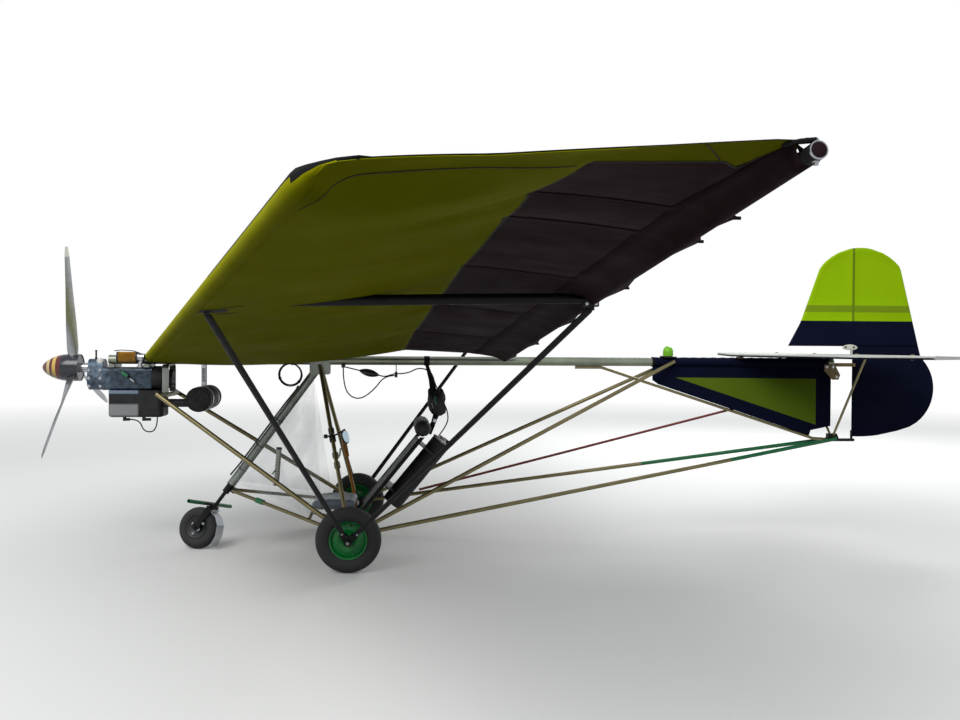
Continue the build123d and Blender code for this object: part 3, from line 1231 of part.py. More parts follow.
# Clips under the keel, with the primer bulb on its bent pipe between them
CLIP_Y = -12.0
CLIP_W = 36.0
FRONT_CLIP = (-1051.0, 1166.0)
REAR_CLIP = (-712.0, 1112.0)
CLIP_L = (24.0, 18.0)
CLIP_H = (20.0, 36.0)
PIPE_SIDE = 10.0                # pipe and loop lie this far from the clips' middle
PIPE_OD = 8.0
HOSE_OD = 8.0
BULB_R = 24.0
BULB_L = 128.0
PRIMER_PIPE = (
    Vector(FRONT_CLIP[0], CLIP_Y + PIPE_SIDE, FRONT_CLIP[1] - 3),
    Vector(-786, CLIP_Y + PIPE_SIDE, 1098),
    Vector(REAR_CLIP[0], CLIP_Y + PIPE_SIDE, REAR_CLIP[1] + 8),
)
with BuildPart() as hose_fittings:
    for clip, clip_l, clip_h in zip((FRONT_CLIP, REAR_CLIP), CLIP_L, CLIP_H):
        with Locations((clip[0], CLIP_Y, clip[1])):
            Box(clip_l, CLIP_W, clip_h)
    with Locations((REAR_CLIP[0], CLIP_Y, REAR_CLIP[1])):
        Cylinder(3, KEEL_Z - REAR_CLIP[1], align=(Align.CENTER, Align.CENTER, Align.MIN))
    with Locations((FRONT_CLIP[0], CLIP_Y, FRONT_CLIP[1])):
        Cylinder(8, KEEL_Z - FRONT_CLIP[1], align=(Align.CENTER, Align.CENTER, Align.MIN))
    with Locations(Plane(origin=(0, 0, KEEL_Z), z_dir=(1, 0, 0))):
        Cylinder(KEEL_R + SEAT, 4000, mode=Mode.SUBTRACT)
    with BuildLine():
        FilletPolyline(*PRIMER_PIPE, radius=60)
    with BuildSketch(Plane(origin=PRIMER_PIPE[0], z_dir=PRIMER_PIPE[1] - PRIMER_PIPE[0])):
        Circle(PIPE_OD / 2)
    sweep()
    bulb_way = (PRIMER_PIPE[1] - PRIMER_PIPE[0]).normalized()
    bulb_middle = PRIMER_PIPE[0] + bulb_way * 170
    with BuildSketch(Plane(origin=bulb_middle, x_dir=bulb_way, z_dir=(0, 1, 0))):
        with BuildLine():
            ThreePointArc((-BULB_L / 2, PIPE_OD / 2 + 1), (0, BULB_R), (BULB_L / 2, PIPE_OD / 2 + 1))
            Polyline((BULB_L / 2, PIPE_OD / 2 + 1), (BULB_L / 2, 0), (-BULB_L / 2, 0),
                     (-BULB_L / 2, PIPE_OD / 2 + 1))
        make_face()
    revolve(axis=Axis(bulb_middle, bulb_way))
finish(hose_fittings, "hose_fittings")


def cord(points, cord_od, name):
    """Round cord along straight runs joined by arcs as large as the runs allow."""
    points = [Vector(*point) for point in points]
    radii = []
    for before, at, after in zip(points, points[1:], points[2:]):
        half_turn = radians((at - before).get_angle(after - at)) / 2
        radii.append(0.45 * min((at - before).length, (after - at).length) / tan(half_turn))
    with BuildPart() as made:
        with BuildLine() as route:
            FilletPolyline(*points, radius=radii)
        with BuildSketch(Plane(origin=points[0], z_dir=points[1] - points[0])):
            Circle(cord_od / 2)
        sweep()
    length = made.part.volume / (pi * (cord_od / 2) ** 2)
    print(name, [round(radius, 1) for radius in radii], round(route.wires()[0].length, 1), round(length, 1))
    finish(made, name)


LOOP_Y = CLIP_Y - PIPE_SIDE
cord(((FRONT_CLIP[0], LOOP_Y, FRONT_CLIP[1] - CLIP_H[0] / 2 - SEAT), (FRONT_CLIP[0], LOOP_Y, 1066),
      (-1018, -24, 976), (-940, -26, 950), (-852, -26, 1016), (-785, LOOP_Y, 1106),
      (REAR_CLIP[0] - CLIP_L[1] / 2 - SEAT, LOOP_Y, 1106)), HOSE_OD, "loop_hose")

# The fuel hose ends square on the tank's top
HOSE_END_BACK = TANK_BACK - 40
HOSE_END = SEAT_FOOT + SEAT_WAY * (TANK_SPAN[1] + SEAT) + SEAT_BACK * HOSE_END_BACK + Vector(0, -20, 0)
cord(((REAR_CLIP[0] + CLIP_L[1] / 2 + SEAT, CLIP_Y, 1118), (-640, -16, 1118), (-568, -24, 1160),
      (-484, -30, 1136), (-458, -34, 1046), (-416, -36, 956), (-376, -28, 874),
      tuple(HOSE_END + SEAT_WAY * 105), tuple(HOSE_END)), HOSE_OD, "fuel_hose")

# Lead of the front spark plug: out of its cap, down and up into the shroud
LEAD_X = CAP_STUBS[0] + CAP_BARRELS[0] + SEAT
LEAD_END = (SHROUD_X[0] + 288, -30)
cord(((LEAD_X, 0, CAP_Z), (LEAD_X + 58, 0, CAP_Z), (LEAD_X + 92, -24, 742),
      (LEAD_END[0], LEAD_END[1], 750), (LEAD_END[0], LEAD_END[1], SHROUD_Z[0] - SEAT)),
     HOSE_OD, "ignition_lead")

# Spare cable in a coil, tied against the side of the keel
COIL_R = 70.0
COIL_THICK = 11.0
COIL_X = -1385.0
COIL_DROP = 21.0                # its upper arc lies this far below the keel's middle
COIL_Y = -((KEEL_R + COIL_THICK + 3 * SEAT) ** 2 - COIL_DROP ** 2) ** 0.5
with BuildPart() as cable_coil:
    with BuildSketch(side_plane(COIL_Y)):
        with Locations((COIL_X, KEEL_Z - COIL_DROP - COIL_R)):
            Circle(COIL_R + COIL_THICK)
            Circle(COIL_R - COIL_THICK, mode=Mode.SUBTRACT)
    extrude(amount=COIL_THICK, both=True)
    fillet(cable_coil.edges(), COIL_THICK * 0.9)
finish(cable_coil, "cable_coil")
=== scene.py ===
"""Ultralight aircraft: cloth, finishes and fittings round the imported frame.

X runs aft, Y to starboard and Z up, in metres. Sizes in millimetres end in _mm. The photograph looks
at the port side from just below the wing.
"""
import json
import logging
import math
from dataclasses import dataclass, field
from enum import Enum
from typing import Any, Callable, Optional, Sequence

import bmesh
import bpy
from mathutils import Matrix, Vector

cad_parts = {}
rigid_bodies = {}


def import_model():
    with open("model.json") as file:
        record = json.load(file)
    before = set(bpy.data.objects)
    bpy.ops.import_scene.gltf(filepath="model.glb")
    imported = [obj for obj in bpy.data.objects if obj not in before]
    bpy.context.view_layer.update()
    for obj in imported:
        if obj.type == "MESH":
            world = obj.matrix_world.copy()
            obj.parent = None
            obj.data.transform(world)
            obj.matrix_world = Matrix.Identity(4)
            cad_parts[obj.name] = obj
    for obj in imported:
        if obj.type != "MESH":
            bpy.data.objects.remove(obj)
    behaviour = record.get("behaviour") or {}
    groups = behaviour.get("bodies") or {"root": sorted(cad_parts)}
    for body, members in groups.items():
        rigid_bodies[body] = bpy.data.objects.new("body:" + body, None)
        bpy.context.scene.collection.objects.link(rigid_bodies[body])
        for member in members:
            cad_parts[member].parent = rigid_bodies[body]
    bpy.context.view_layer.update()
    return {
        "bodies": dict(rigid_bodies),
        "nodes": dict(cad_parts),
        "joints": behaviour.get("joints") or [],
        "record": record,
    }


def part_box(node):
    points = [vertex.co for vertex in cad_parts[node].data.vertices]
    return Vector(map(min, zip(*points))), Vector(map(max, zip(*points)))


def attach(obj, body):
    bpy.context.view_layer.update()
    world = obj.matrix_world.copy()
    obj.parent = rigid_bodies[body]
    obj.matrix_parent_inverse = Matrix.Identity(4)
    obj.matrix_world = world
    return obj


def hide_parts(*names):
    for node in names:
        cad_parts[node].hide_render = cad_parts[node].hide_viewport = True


LOG = logging.getLogger("ultralight")
Point = Sequence[float]
WAVE_PITCH_MM = 314.16  # from crest to crest of the wave texture at a scale of 1


class Side(Enum):
    """The two sides of the aircraft, as the sign of Y."""
    PORT = -1
    STARBOARD = 1

    @property
    def word(self) -> str:
        """Name of the side in a piece's name."""
        return self.name.lower()


# Shader helpers

def linear(code: str) -> tuple[float, float, float, float]:
    """Turn an sRGB hex colour into linear values.

    Args:
        code: colour written as #RRGGBB.
    Returns:
        Red, green, blue and an alpha of 1.
    """
    parts = [int(code[start:start + 2], 16) / 255 for start in (1, 3, 5)]
    red, green, blue = (v / 12.92 if v <= 0.04045 else ((v + 0.055) / 1.055) ** 2.4 for v in parts)
    return red, green, blue, 1.0


def add_node(tree: bpy.types.NodeTree, kind: str, sockets: Optional[dict[Any, Any]] = None,
             **settings: Any) -> bpy.types.Node:
    """Add a shader node with its settings, its fixed values and its links.

    Args:
        tree: node tree that takes the node.
        kind: Blender's name of the node type.
        sockets: input name or index, with a value or an output to link.
        settings: properties of the node itself.
    Returns:
        The new node.
    """
    made = tree.nodes.new(kind)
    for name, value in settings.items():
        setattr(made, name, value)
    for name, value in (sockets or {}).items():
        if isinstance(value, bpy.types.NodeSocket):
            tree.links.new(value, made.inputs[name])
        else:
            made.inputs[name].default_value = value
    return made


def grain(tree: bpy.types.NodeTree, where: Any, size_mm: float, detail: float = 4.0,
          stretch: Point = (1.0, 1.0, 1.0)) -> Any:
    """Noise whose patches are about size_mm across.

    Args:
        tree: node tree that takes the nodes.
        where: output with the place on the object.
        size_mm: real size of one patch.
        detail: octaves of finer noise inside it.
        stretch: scale of the place along X, Y and Z.
    Returns:
        The noise's value output.
    """
    at = add_node(tree, "ShaderNodeMapping", {"Vector": where, "Scale": stretch})
    return add_node(tree, "ShaderNodeTexNoise",
                    {"Vector": at.outputs[0], "Scale": 1000 / size_mm, "Detail": detail}).outputs[0]


def span(tree: bpy.types.NodeTree, value: Any, low: float, high: float, start: float = 0.3,
         end: float = 0.7) -> Any:
    """Map a value from start..end to low..high, held at both ends."""
    return add_node(tree, "ShaderNodeMapRange",
                    {"Value": value, "From Min": start, "From Max": end, "To Min": low,
                     "To Max": high}).outputs[0]


def mixed(tree: bpy.types.NodeTree, share: Any, first: Any, second: Any) -> Any:
    """Mix two colours by a share from 0 to 1."""
    return add_node(tree, "ShaderNodeMix", {0: share, 6: first, 7: second},
                    data_type="RGBA").outputs[2]


def bumped(tree: bpy.types.NodeTree, height: Any, depth_mm: float, strength: float = 1.0) -> Any:
    """Normal of a surface whose relief is depth_mm deep."""
    return add_node(tree, "ShaderNodeBump", {"Height": height, "Distance": depth_mm / 1000,
                                             "Strength": strength}).outputs[0]


def axis_value(tree: bpy.types.NodeTree, where: Any, axis: str) -> Any:
    """One coordinate of a place on the object."""
    return add_node(tree, "ShaderNodeSeparateXYZ", {0: where}).outputs[axis]


def plane_value(tree: bpy.types.NodeTree, where: Any, plane: tuple[float, float, float, float]) -> Any:
    """Value of a*X + b*Y + c*Z + d at a place on the object, in metres."""
    along = add_node(tree, "ShaderNodeVectorMath", {0: where, 1: plane[:3]},
                     operation="DOT_PRODUCT").outputs["Value"]
    return add_node(tree, "ShaderNodeMath", {0: along, 1: plane[3]}, operation="ADD").outputs[0]


@dataclass(frozen=True)
class Zone:
    """A second colour where every one of some planes a*X + b*Y + c*Z + d is positive."""
    colour: str
    planes: tuple[tuple[float, float, float, float], ...]
    blur: float = 0.0008

    def paint(self, tree: bpy.types.NodeTree, where: Any, under: Any) -> Any:
        """Lay the zone's colour over another colour."""
        share: Any = None
        for plane in self.planes:
            inside = span(tree, plane_value(tree, where, plane), 0.0, 1.0, -self.blur, self.blur)
            share = inside if share is None else add_node(
                tree, "ShaderNodeMath", {0: share, 1: inside}, operation="MULTIPLY").outputs[0]
        return mixed(tree, share, under, linear(self.colour))


@dataclass(frozen=True)
class Finish:
    """What all finishes share: a name, a colour and a roughness. Made once and kept."""
    name: str
    colour: str
    rough: float = 0.5

    def material(self) -> bpy.types.Material:
        """The Blender material of this finish."""
        made = bpy.data.materials.get(self.name)
        if made is None:
            made = bpy.data.materials.new(self.name)
            made.use_nodes = True
            tree = made.node_tree
            tree.nodes.clear()
            where = add_node(tree, "ShaderNodeTexCoord").outputs["Object"]
            shader = self.dress(tree, where)
            add_node(tree, "ShaderNodeOutputMaterial", {"Surface": shader.outputs[0]})
            made.diffuse_color = linear(self.colour)
        return made

    def dress(self, tree: bpy.types.NodeTree, where: Any) -> bpy.types.Node:
        """Build the shader. Each finish has its own."""
        raise NotImplementedError

    def worn(self, tree: bpy.types.NodeTree, where: Any, size_mm: float, dark: float) -> Any:
        """The finish's colour, a little darker in soft patches of size_mm."""
        red, green, blue, _ = linear(self.colour)
        low = (red * dark, green * dark, blue * dark, 1.0)
        return mixed(tree, span(tree, grain(tree, where, size_mm), 0.0, 1.0), low,
                     linear(self.colour))


@dataclass(frozen=True)
class AnodisedTube(Finish):
    """Drawn aluminium tube, anodised: an even satin metal with draw lines and handled patches."""
    rough: float = 0.38

    def dress(self, tree: bpy.types.NodeTree, where: Any) -> bpy.types.Node:
        """Metal tinted by the oxide, with 2 mm draw lines and 90 mm patches of dullness."""
        lines = grain(tree, where, 2.0, 2.0, (0.05, 1.0, 1.0))
        haze = grain(tree, where, 90.0)
        return add_node(tree, "ShaderNodeBsdfPrincipled", {
            "Base Color": self.worn(tree, where, 140.0, 0.72), "Metallic": 0.85,
            "Roughness": span(tree, haze, self.rough - 0.08, self.rough + 0.16),
            "Normal": bumped(tree, lines, 0.15, 0.4)})


@dataclass(frozen=True)
class TwoToneTube(Finish):
    """Anodised tube that is painted a second colour aft of a line X + slant * Y = from_x."""
    second: str = "#0C6B3C"
    from_x: float = 0.0
    slant: float = 0.0
    rough: float = 0.42

    def dress(self, tree: bpy.types.NodeTree, where: Any) -> bpy.types.Node:
        """The change of colour has a brushed edge about 20 mm wide."""
        ragged = span(tree, grain(tree, where, 16.0), -0.01, 0.01)
        edge = add_node(tree, "ShaderNodeMath", {0: plane_value(tree, where, (1.0, self.slant, 0.0, 0.0)),
                                                 1: ragged}, operation="ADD").outputs[0]
        share = span(tree, edge, 0.0, 1.0, self.from_x - 0.003, self.from_x + 0.003)
        paint = mixed(tree, share, self.worn(tree, where, 120.0, 0.72), linear(self.second))
        return add_node(tree, "ShaderNodeBsdfPrincipled", {
            "Base Color": paint, "Metallic": span(tree, share, 0.85, 0.1, 0.0, 1.0),
            "Roughness": self.rough,
            "Normal": bumped(tree, grain(tree, where, 2.0, 2.0, (0.05, 1.0, 1.0)), 0.15, 0.4)})


@dataclass(frozen=True)
class SatinPaint(Finish):
    """Sprayed satin paint or powder coat on metal: fine orange peel and faint rubbed patches."""
    rough: float = 0.42
    peel_mm: float = 1.6
    shine: float = 0.5
    zones: tuple[Zone, ...] = ()

    def dress(self, tree: bpy.types.NodeTree, where: Any) -> bpy.types.Node:
        """A dielectric coat, IOR 1.5, with peel drawn at 1.6 mm so that it shows."""
        paint = self.worn(tree, where, 70.0, 0.78)
        for zone in self.zones:
            paint = zone.paint(tree, where, paint)
        return add_node(tree, "ShaderNodeBsdfPrincipled", {
            "Base Color": paint, "IOR": 1.5, "Specular IOR Level": self.shine,
            "Roughness": span(tree, grain(tree, where, 35.0), self.rough - 0.07, self.rough + 0.12),
            "Normal": bumped(tree, grain(tree, where, self.peel_mm, 1.0), 0.06, 0.5)})


@dataclass(frozen=True)
class GlossEnamel(Finish):
    """Enamel paint: a soft shine, slightly uneven, with a little road dust."""
    rough: float = 0.2

    def dress(self, tree: bpy.types.NodeTree, where: Any) -> bpy.types.Node:
        """Enamel of IOR 1.52, with a little dust in 25 mm patches."""
        dust = span(tree, grain(tree, where, 25.0, 6.0), 0.0, 0.10, 0.55, 0.8)
        return add_node(tree, "ShaderNodeBsdfPrincipled", {
            "Base Color": mixed(tree, dust, self.worn(tree, where, 60.0, 0.8), linear("#6F6A58")),
            "IOR": 1.52, "Roughness": span(tree, dust, self.rough, 0.6, 0.0, 0.10),
            "Specular IOR Level": 0.35,
            "Normal": bumped(tree, grain(tree, where, 9.0, 2.0), 0.12, 0.4)})


@dataclass(frozen=True)
class Sailcloth(Finish):
    """Woven polyester sailcloth with a resin finish: crisp, dull, softly creased.

    The weave is about 0.4 mm, far too fine to show, so it is drawn at about 6 mm as a light ripple.
    """
    rough: float = 0.72
    crease_mm: float = 0.9
    weave_mm: float = 5.922
    zones: tuple[Zone, ...] = ()

    def dress(self, tree: bpy.types.NodeTree, where: Any) -> bpy.types.Node:
        """Cloth colour with sun-faded patches, weave ripple and long tension creases."""
        scale = WAVE_PITCH_MM / self.weave_mm
        warp, weft = (add_node(tree, "ShaderNodeTexWave", {"Vector": where, "Scale": scale},
                               bands_direction=axis).outputs[1] for axis in "XY")
        weave = add_node(tree, "ShaderNodeMath", {0: warp, 1: weft}, operation="MULTIPLY").outputs[0]
        crease = grain(tree, where, 130.0, 3.0, (0.45, 1.0, 1.0))
        fine = bumped(tree, weave, 0.08, 0.35)
        folded = add_node(tree, "ShaderNodeBump", {"Height": crease, "Strength": 0.8,
                                                   "Distance": self.crease_mm / 1000 * 8,
                                                   "Normal": fine}).outputs[0]
        paint = self.worn(tree, where, 420.0, 0.84)
        for zone in self.zones:
            paint = zone.paint(tree, where, paint)
        return add_node(tree, "ShaderNodeBsdfPrincipled", {
            "Base Color": paint, "IOR": 1.45, "Specular IOR Level": 0.05,
            "Roughness": span(tree, grain(tree, where, 200.0), self.rough - 0.06, self.rough + 0.1),
            "Normal": folded})


@dataclass(frozen=True)
class CoatedCloth(Finish):
    """Nylon cloth with a rubbery coat, as on seats and bags: dull, with short soft wrinkles."""
    rough: float = 0.62

    def dress(self, tree: bpy.types.NodeTree, where: Any) -> bpy.types.Node:
        """Cloth of IOR 1.5 whose wrinkles are about 40 mm long."""
        wrinkle = grain(tree, where, 40.0, 5.0, (1.0, 0.5, 1.0))
        return add_node(tree, "ShaderNodeBsdfPrincipled", {
            "Base Color": self.worn(tree, where, 80.0, 0.7), "IOR": 1.5,
            "Roughness": span(tree, wrinkle, self.rough - 0.12, self.rough + 0.12),
            "Sheen Weight": 0.25, "Sheen Roughness": 0.4,
            "Normal": bumped(tree, wrinkle, 5.0, 0.6)})


@dataclass(frozen=True)
class Webbing(Finish):
    """Woven nylon webbing: ribs that lie level, drawn about 8 mm apart."""
    rough: float = 0.7
    rib_mm: float = 7.895

    def dress(self, tree: bpy.types.NodeTree, where: Any) -> bpy.types.Node:
        """Dull woven strap with regular ribs."""
        ribs = add_node(tree, "ShaderNodeTexWave", {"Vector": where, "Scale": WAVE_PITCH_MM / self.rib_mm},
                        bands_direction="Z").outputs[1]
        return add_node(tree, "ShaderNodeBsdfPrincipled", {
            "Base Color": self.worn(tree, where, 30.0, 0.75), "IOR": 1.5, "Roughness": self.rough,
            "Specular IOR Level": 0.15, "Normal": bumped(tree, ribs, 0.6, 0.6)})


@dataclass(frozen=True)
class CastAluminium(Finish):
    """Sand-cast aluminium: grey metal, pitted at 2 mm, with darker oily patches."""
    rough: float = 0.52

    def dress(self, tree: bpy.types.NodeTree, where: Any) -> bpy.types.Node:
        """Cast skin, partly covered by old oil in 30 mm patches."""
        oil = span(tree, grain(tree, where, 30.0, 5.0), 0.0, 1.0, 0.45, 0.75)
        return add_node(tree, "ShaderNodeBsdfPrincipled", {
            "Base Color": mixed(tree, oil, self.worn(tree, where, 12.0, 0.8), linear("#1E1D1B")),
            "Metallic": 0.75, "Roughness": span(tree, oil, self.rough, 0.34, 0.0, 1.0),
            "Normal": bumped(tree, grain(tree, where, 2.0, 3.0), 0.35, 0.6)})


@dataclass(frozen=True)
class BrightSteel(Finish):
    """Plated or polished steel and alloy fittings: clear reflections with fine scratches."""
    rough: float = 0.22

    def dress(self, tree: bpy.types.NodeTree, where: Any) -> bpy.types.Node:
        """Full metal with scratches drawn at 1 mm."""
        scratch = grain(tree, where, 1.0, 2.0, (1.0, 1.0, 0.08))
        return add_node(tree, "ShaderNodeBsdfPrincipled", {
            "Base Color": self.worn(tree, where, 20.0, 0.85), "Metallic": 1.0,
            "Roughness": span(tree, scratch, self.rough - 0.06, self.rough + 0.14),
            "Normal": bumped(tree, scratch, 0.03, 0.3)})


@dataclass(frozen=True)
class HeatPaint(Finish):
    """Matt heat-proof paint on steel: black with soft darker patches and a trace of rust."""
    zones: tuple[Zone, ...] = ()

    def dress(self, tree: bpy.types.NodeTree, where: Any) -> bpy.types.Node:
        """Matt coat with rust specks of about 6 mm, and a zone's colour where one says so: bare metal, and on
        the shroud also a painted highlight.
        """
        rust = span(tree, grain(tree, where, 6.0, 6.0), 0.0, 0.6, 0.66, 0.8)
        paint = mixed(tree, rust, self.worn(tree, where, 50.0, 0.6), linear("#4A2A1A"))
        for zone in self.zones:
            paint = zone.paint(tree, where, paint)
        return add_node(tree, "ShaderNodeBsdfPrincipled", {
            "Base Color": paint,
            "IOR": 1.45, "Roughness": span(tree, grain(tree, where, 50.0), self.rough, self.rough + 0.3),
            "Normal": bumped(tree, grain(tree, where, 1.5, 2.0), 0.15, 0.6)})


@dataclass(frozen=True)
class TyreRubber(Finish):
    """Vulcanised rubber: nearly black, dull, with dust, and ribs that run round a tyre."""
    rough: float = 0.82
    rib_mm: float = 17.765

    def dress(self, tree: bpy.types.NodeTree, where: Any) -> bpy.types.Node:
        """Rubber of IOR 1.52 with dust in 18 mm patches. The ribs are rib_mm apart along Y."""
        dust = span(tree, grain(tree, where, 18.0, 6.0), 0.0, 0.12, 0.5, 0.8)
        ribs = add_node(tree, "ShaderNodeTexWave", {"Vector": where, "Scale": WAVE_PITCH_MM / self.rib_mm},
                        bands_direction="Y").outputs[1]
        grit = bumped(tree, grain(tree, where, 2.5, 3.0), 0.3, 0.5)
        return add_node(tree, "ShaderNodeBsdfPrincipled", {
            "Base Color": mixed(tree, dust, self.worn(tree, where, 40.0, 0.7), linear("#3B3731")),
            "IOR": 1.52, "Specular IOR Level": 0.25, "Roughness": self.rough,
            "Normal": add_node(tree, "ShaderNodeBump", {"Height": ribs, "Distance": 0.0015,
                                                        "Normal": grit}).outputs[0]})


@dataclass(frozen=True)
class MouldedPlastic(Finish):
    """Moulded polyethylene or ABS: even colour, soft shine, faint moulding texture."""
    rough: float = 0.4

    def dress(self, tree: bpy.types.NodeTree, where: Any) -> bpy.types.Node:
        """Plastic of IOR 1.5 with 3 mm texture."""
        return add_node(tree, "ShaderNodeBsdfPrincipled", {
            "Base Color": self.worn(tree, where, 60.0, 0.85), "IOR": 1.5,
            "Roughness": span(tree, grain(tree, where, 30.0), self.rough - 0.06, self.rough + 0.1),
            "Normal": bumped(tree, grain(tree, where, 3.0, 2.0), 0.1, 0.4)})


@dataclass(frozen=True)
class ClearVinyl(Finish):
    """Clear flexible vinyl sheet: see-through, bluish where it is scuffed, with long soft ripples."""
    rough: float = 0.08
    cover: float = 0.07

    def dress(self, tree: bpy.types.NodeTree, where: Any) -> bpy.types.Node:
        """Thin clear sheet of IOR 1.54, hazed by scuffs of about 80 mm."""
        scuff = grain(tree, where, 80.0, 5.0, (1.0, 1.0, 0.4))
        return add_node(tree, "ShaderNodeBsdfPrincipled", {
            "Base Color": linear(self.colour), "IOR": 1.54,
            "Roughness": span(tree, scuff, self.rough, self.rough + 0.18),
            "Alpha": span(tree, scuff, self.cover * 0.6, self.cover * 1.8),
            "Normal": bumped(tree, grain(tree, where, 150.0, 2.0), 12.0, 0.7)})


@dataclass(frozen=True)
class StripedSpinner(Finish):
    """Painted spinner: rings of paint round the shaft's line, each at its own station along X."""
    rough: float = 0.3
    rings: tuple[tuple[float, str], ...] = ()

    def dress(self, tree: bpy.types.NodeTree, where: Any) -> bpy.types.Node:
        """Gloss paint. A ring's colour holds from its station aft to the next one."""
        along = axis_value(tree, where, "X")
        paint: Any = linear(self.colour)
        for station, code in self.rings:
            share = span(tree, along, 0.0, 1.0, station - 0.0006, station + 0.0006)
            paint = mixed(tree, share, paint, linear(code))
        return add_node(tree, "ShaderNodeBsdfPrincipled", {
            "Base Color": paint, "IOR": 1.5, "Roughness": self.rough, "Coat Weight": 0.4,
            "Normal": bumped(tree, grain(tree, where, 1.6, 1.0), 0.05, 0.5)})


@dataclass(frozen=True)
class BladeSkin(Finish):
    """Machined and polished aluminium propeller blade with a white painted tip."""
    hub: tuple[float, float, float] = (-2.7358, 0.0, 1.1495)
    tip_from: float = 0.70
    rough: float = 0.3

    def dress(self, tree: bpy.types.NodeTree, where: Any) -> bpy.types.Node:
        """Metal up to the tip's paint, which starts at one distance from the hub."""
        away = add_node(tree, "ShaderNodeVectorMath", {0: where, 1: self.hub},
                        operation="DISTANCE").outputs["Value"]
        tip = span(tree, away, 0.0, 1.0, self.tip_from - 0.001, self.tip_from + 0.001)
        scratch = grain(tree, where, 1.2, 2.0, (1.0, 1.0, 0.1))
        return add_node(tree, "ShaderNodeBsdfPrincipled", {
            "Base Color": mixed(tree, tip, self.worn(tree, where, 60.0, 0.8), linear("#E9E9E4")),
            "Metallic": span(tree, tip, 0.9, 0.0, 0.0, 1.0),
            "Roughness": span(tree, scratch, self.rough - 0.08, self.rough + 0.12),
            "Normal": bumped(tree, scratch, 0.04, 0.3)})


RUDDER_CLOTH = Sailcloth("sailcloth_rudder", "#10142A", zones=(
    Zone("#9CC70A", ((0.0, 0.0, 1.0, -1.484),)),
    # Painted shadows: the darker lime band over the cross tube and the darker strip over the post stand for
    # the frame's shade through the cloth.
    Zone("#7F9C1C", ((0.0, 0.0, 1.0, -1.543), (0.0, 0.0, -1.0, 1.589))),
    Zone("#6F8A18", ((0.0, 0.0, 1.0, -1.484), (1.0, 0.0, 0.0, -2.3515), (-1.0, 0.0, 0.0, 2.3685)))))
FIN_CLOTH = Sailcloth("sailcloth_fin", "#10142A", zones=(
    # Painted shade: the fin's lime panel is the lime cloth coloured darker, as in shade.
    Zone("#62781C", ((1.0, 0.0, 0.0, -1.140), (-0.0062, 0.0, -1.0, 1.1061), (0.3264, 0.0, 1.0, -1.4711),
                     (-1.0, 0.0, 0.0, 2.106))),))
LIME_CLOTH = Sailcloth("sailcloth_lime", "#A6A606")
DARK_CLOTH = Sailcloth("sailcloth_umber", "#302126")
NAVY_CLOTH = Sailcloth("sailcloth_navy", "#10142A")
PALE_CLOTH = Sailcloth("sailcloth_pale", "#C9CBC4", rough=0.5)
BLACK_TAPE = Webbing("edge_tape_black", "#0E1013")
SEAM_THREAD = Webbing("seam_dark", "#23260A")
KEEL_METAL = AnodisedTube("anodised_keel", "#949A88")
OLIVE_TUBE = AnodisedTube("anodised_olive", "#8E8460")
FRAME_TUBE = TwoToneTube("anodised_olive_green_end", "#8E8460", from_x=1.26, slant=1.1)
CLEAR_TUBE = AnodisedTube("anodised_clear", "#8F948C")
STRUT_BLACK = SatinPaint("powder_black", "#08080A", rough=0.5, shine=0.25)
SPAR_DARK = SatinPaint("powder_charcoal", "#08080B", rough=0.5, shine=0.2)
RED_ROD = SatinPaint("enamel_rust_red", "#7E2A20", rough=0.4)
TAN_PAINT = SatinPaint("enamel_tan", "#A98E62", rough=0.5)
WHITE_PAINT = SatinPaint("enamel_off_white", "#D6D3C6", rough=0.4)
CREAM_PAINT = SatinPaint("enamel_cream", "#C9C093", rough=0.42)
WHEEL_GREEN = GlossEnamel("enamel_wheel_green", "#047C34")
FOOT_PAINT = SatinPaint("foot_bar_paint", "#101012", rough=0.35, zones=(
    Zone("#0F7A42", ((0.0, 1.0, 0.0, -0.075),)), Zone("#0F7A42", ((0.0, -1.0, 0.0, -0.075),))))
RIM_DARK = SatinPaint("enamel_rim_dark", "#1D1E20", rough=0.4)
TYRE = TyreRubber("tyre_rubber", "#09090C")
HOSE = TyreRubber("hose_rubber", "#0D0D0E", rough=0.5, rib_mm=59.22)
CASE_CAST = CastAluminium("cast_case", "#5C6B7A")
GEAR_CAST = CastAluminium("cast_gearbox", "#5A6878")
SHROUD_BLACK = HeatPaint("heat_black_shroud", "#101013", zones=(
    Zone("#8F9092", ((-1.0, 0.0, 0.0, -2.318), (0.0, 0.0, -1.0, 0.924)), 0.006),
    # Painted highlight: a blue-grey band along the top of the shroud's front end.
    Zone("#7C8CA0", ((-1.0, 0.0, 0.0, -2.318), (0.0, 0.0, 1.0, -0.990)), 0.004)))
DRUM_BLACK = HeatPaint("heat_black_drum", "#0C0C0F")
STEEL = BrightSteel("plated_steel", "#B9BCC0")
MIRROR_FACE = BrightSteel("mirror_face", "#CFE4EC", rough=0.1)
FLAP_STEEL = BrightSteel("alloy_flap", "#C4C8CC", rough=0.26)
BLADE_METAL = BladeSkin("blade_polished", "#A4A7AA")
SPINNER_PAINT = StripedSpinner("spinner_striped", "#6A1712", rings=(
    (-2.889, "#D9C48A"), (-2.868, "#5E1414"), (-2.850, "#D6B45A"), (-2.827, "#5E1414"),
    (-2.800, "#0E1120")))
FILTER_CLOTH = CoatedCloth("filter_oiled_orange", "#B9861C")
SEAT_CLOTH = CoatedCloth("seat_cloth_black", "#131316")
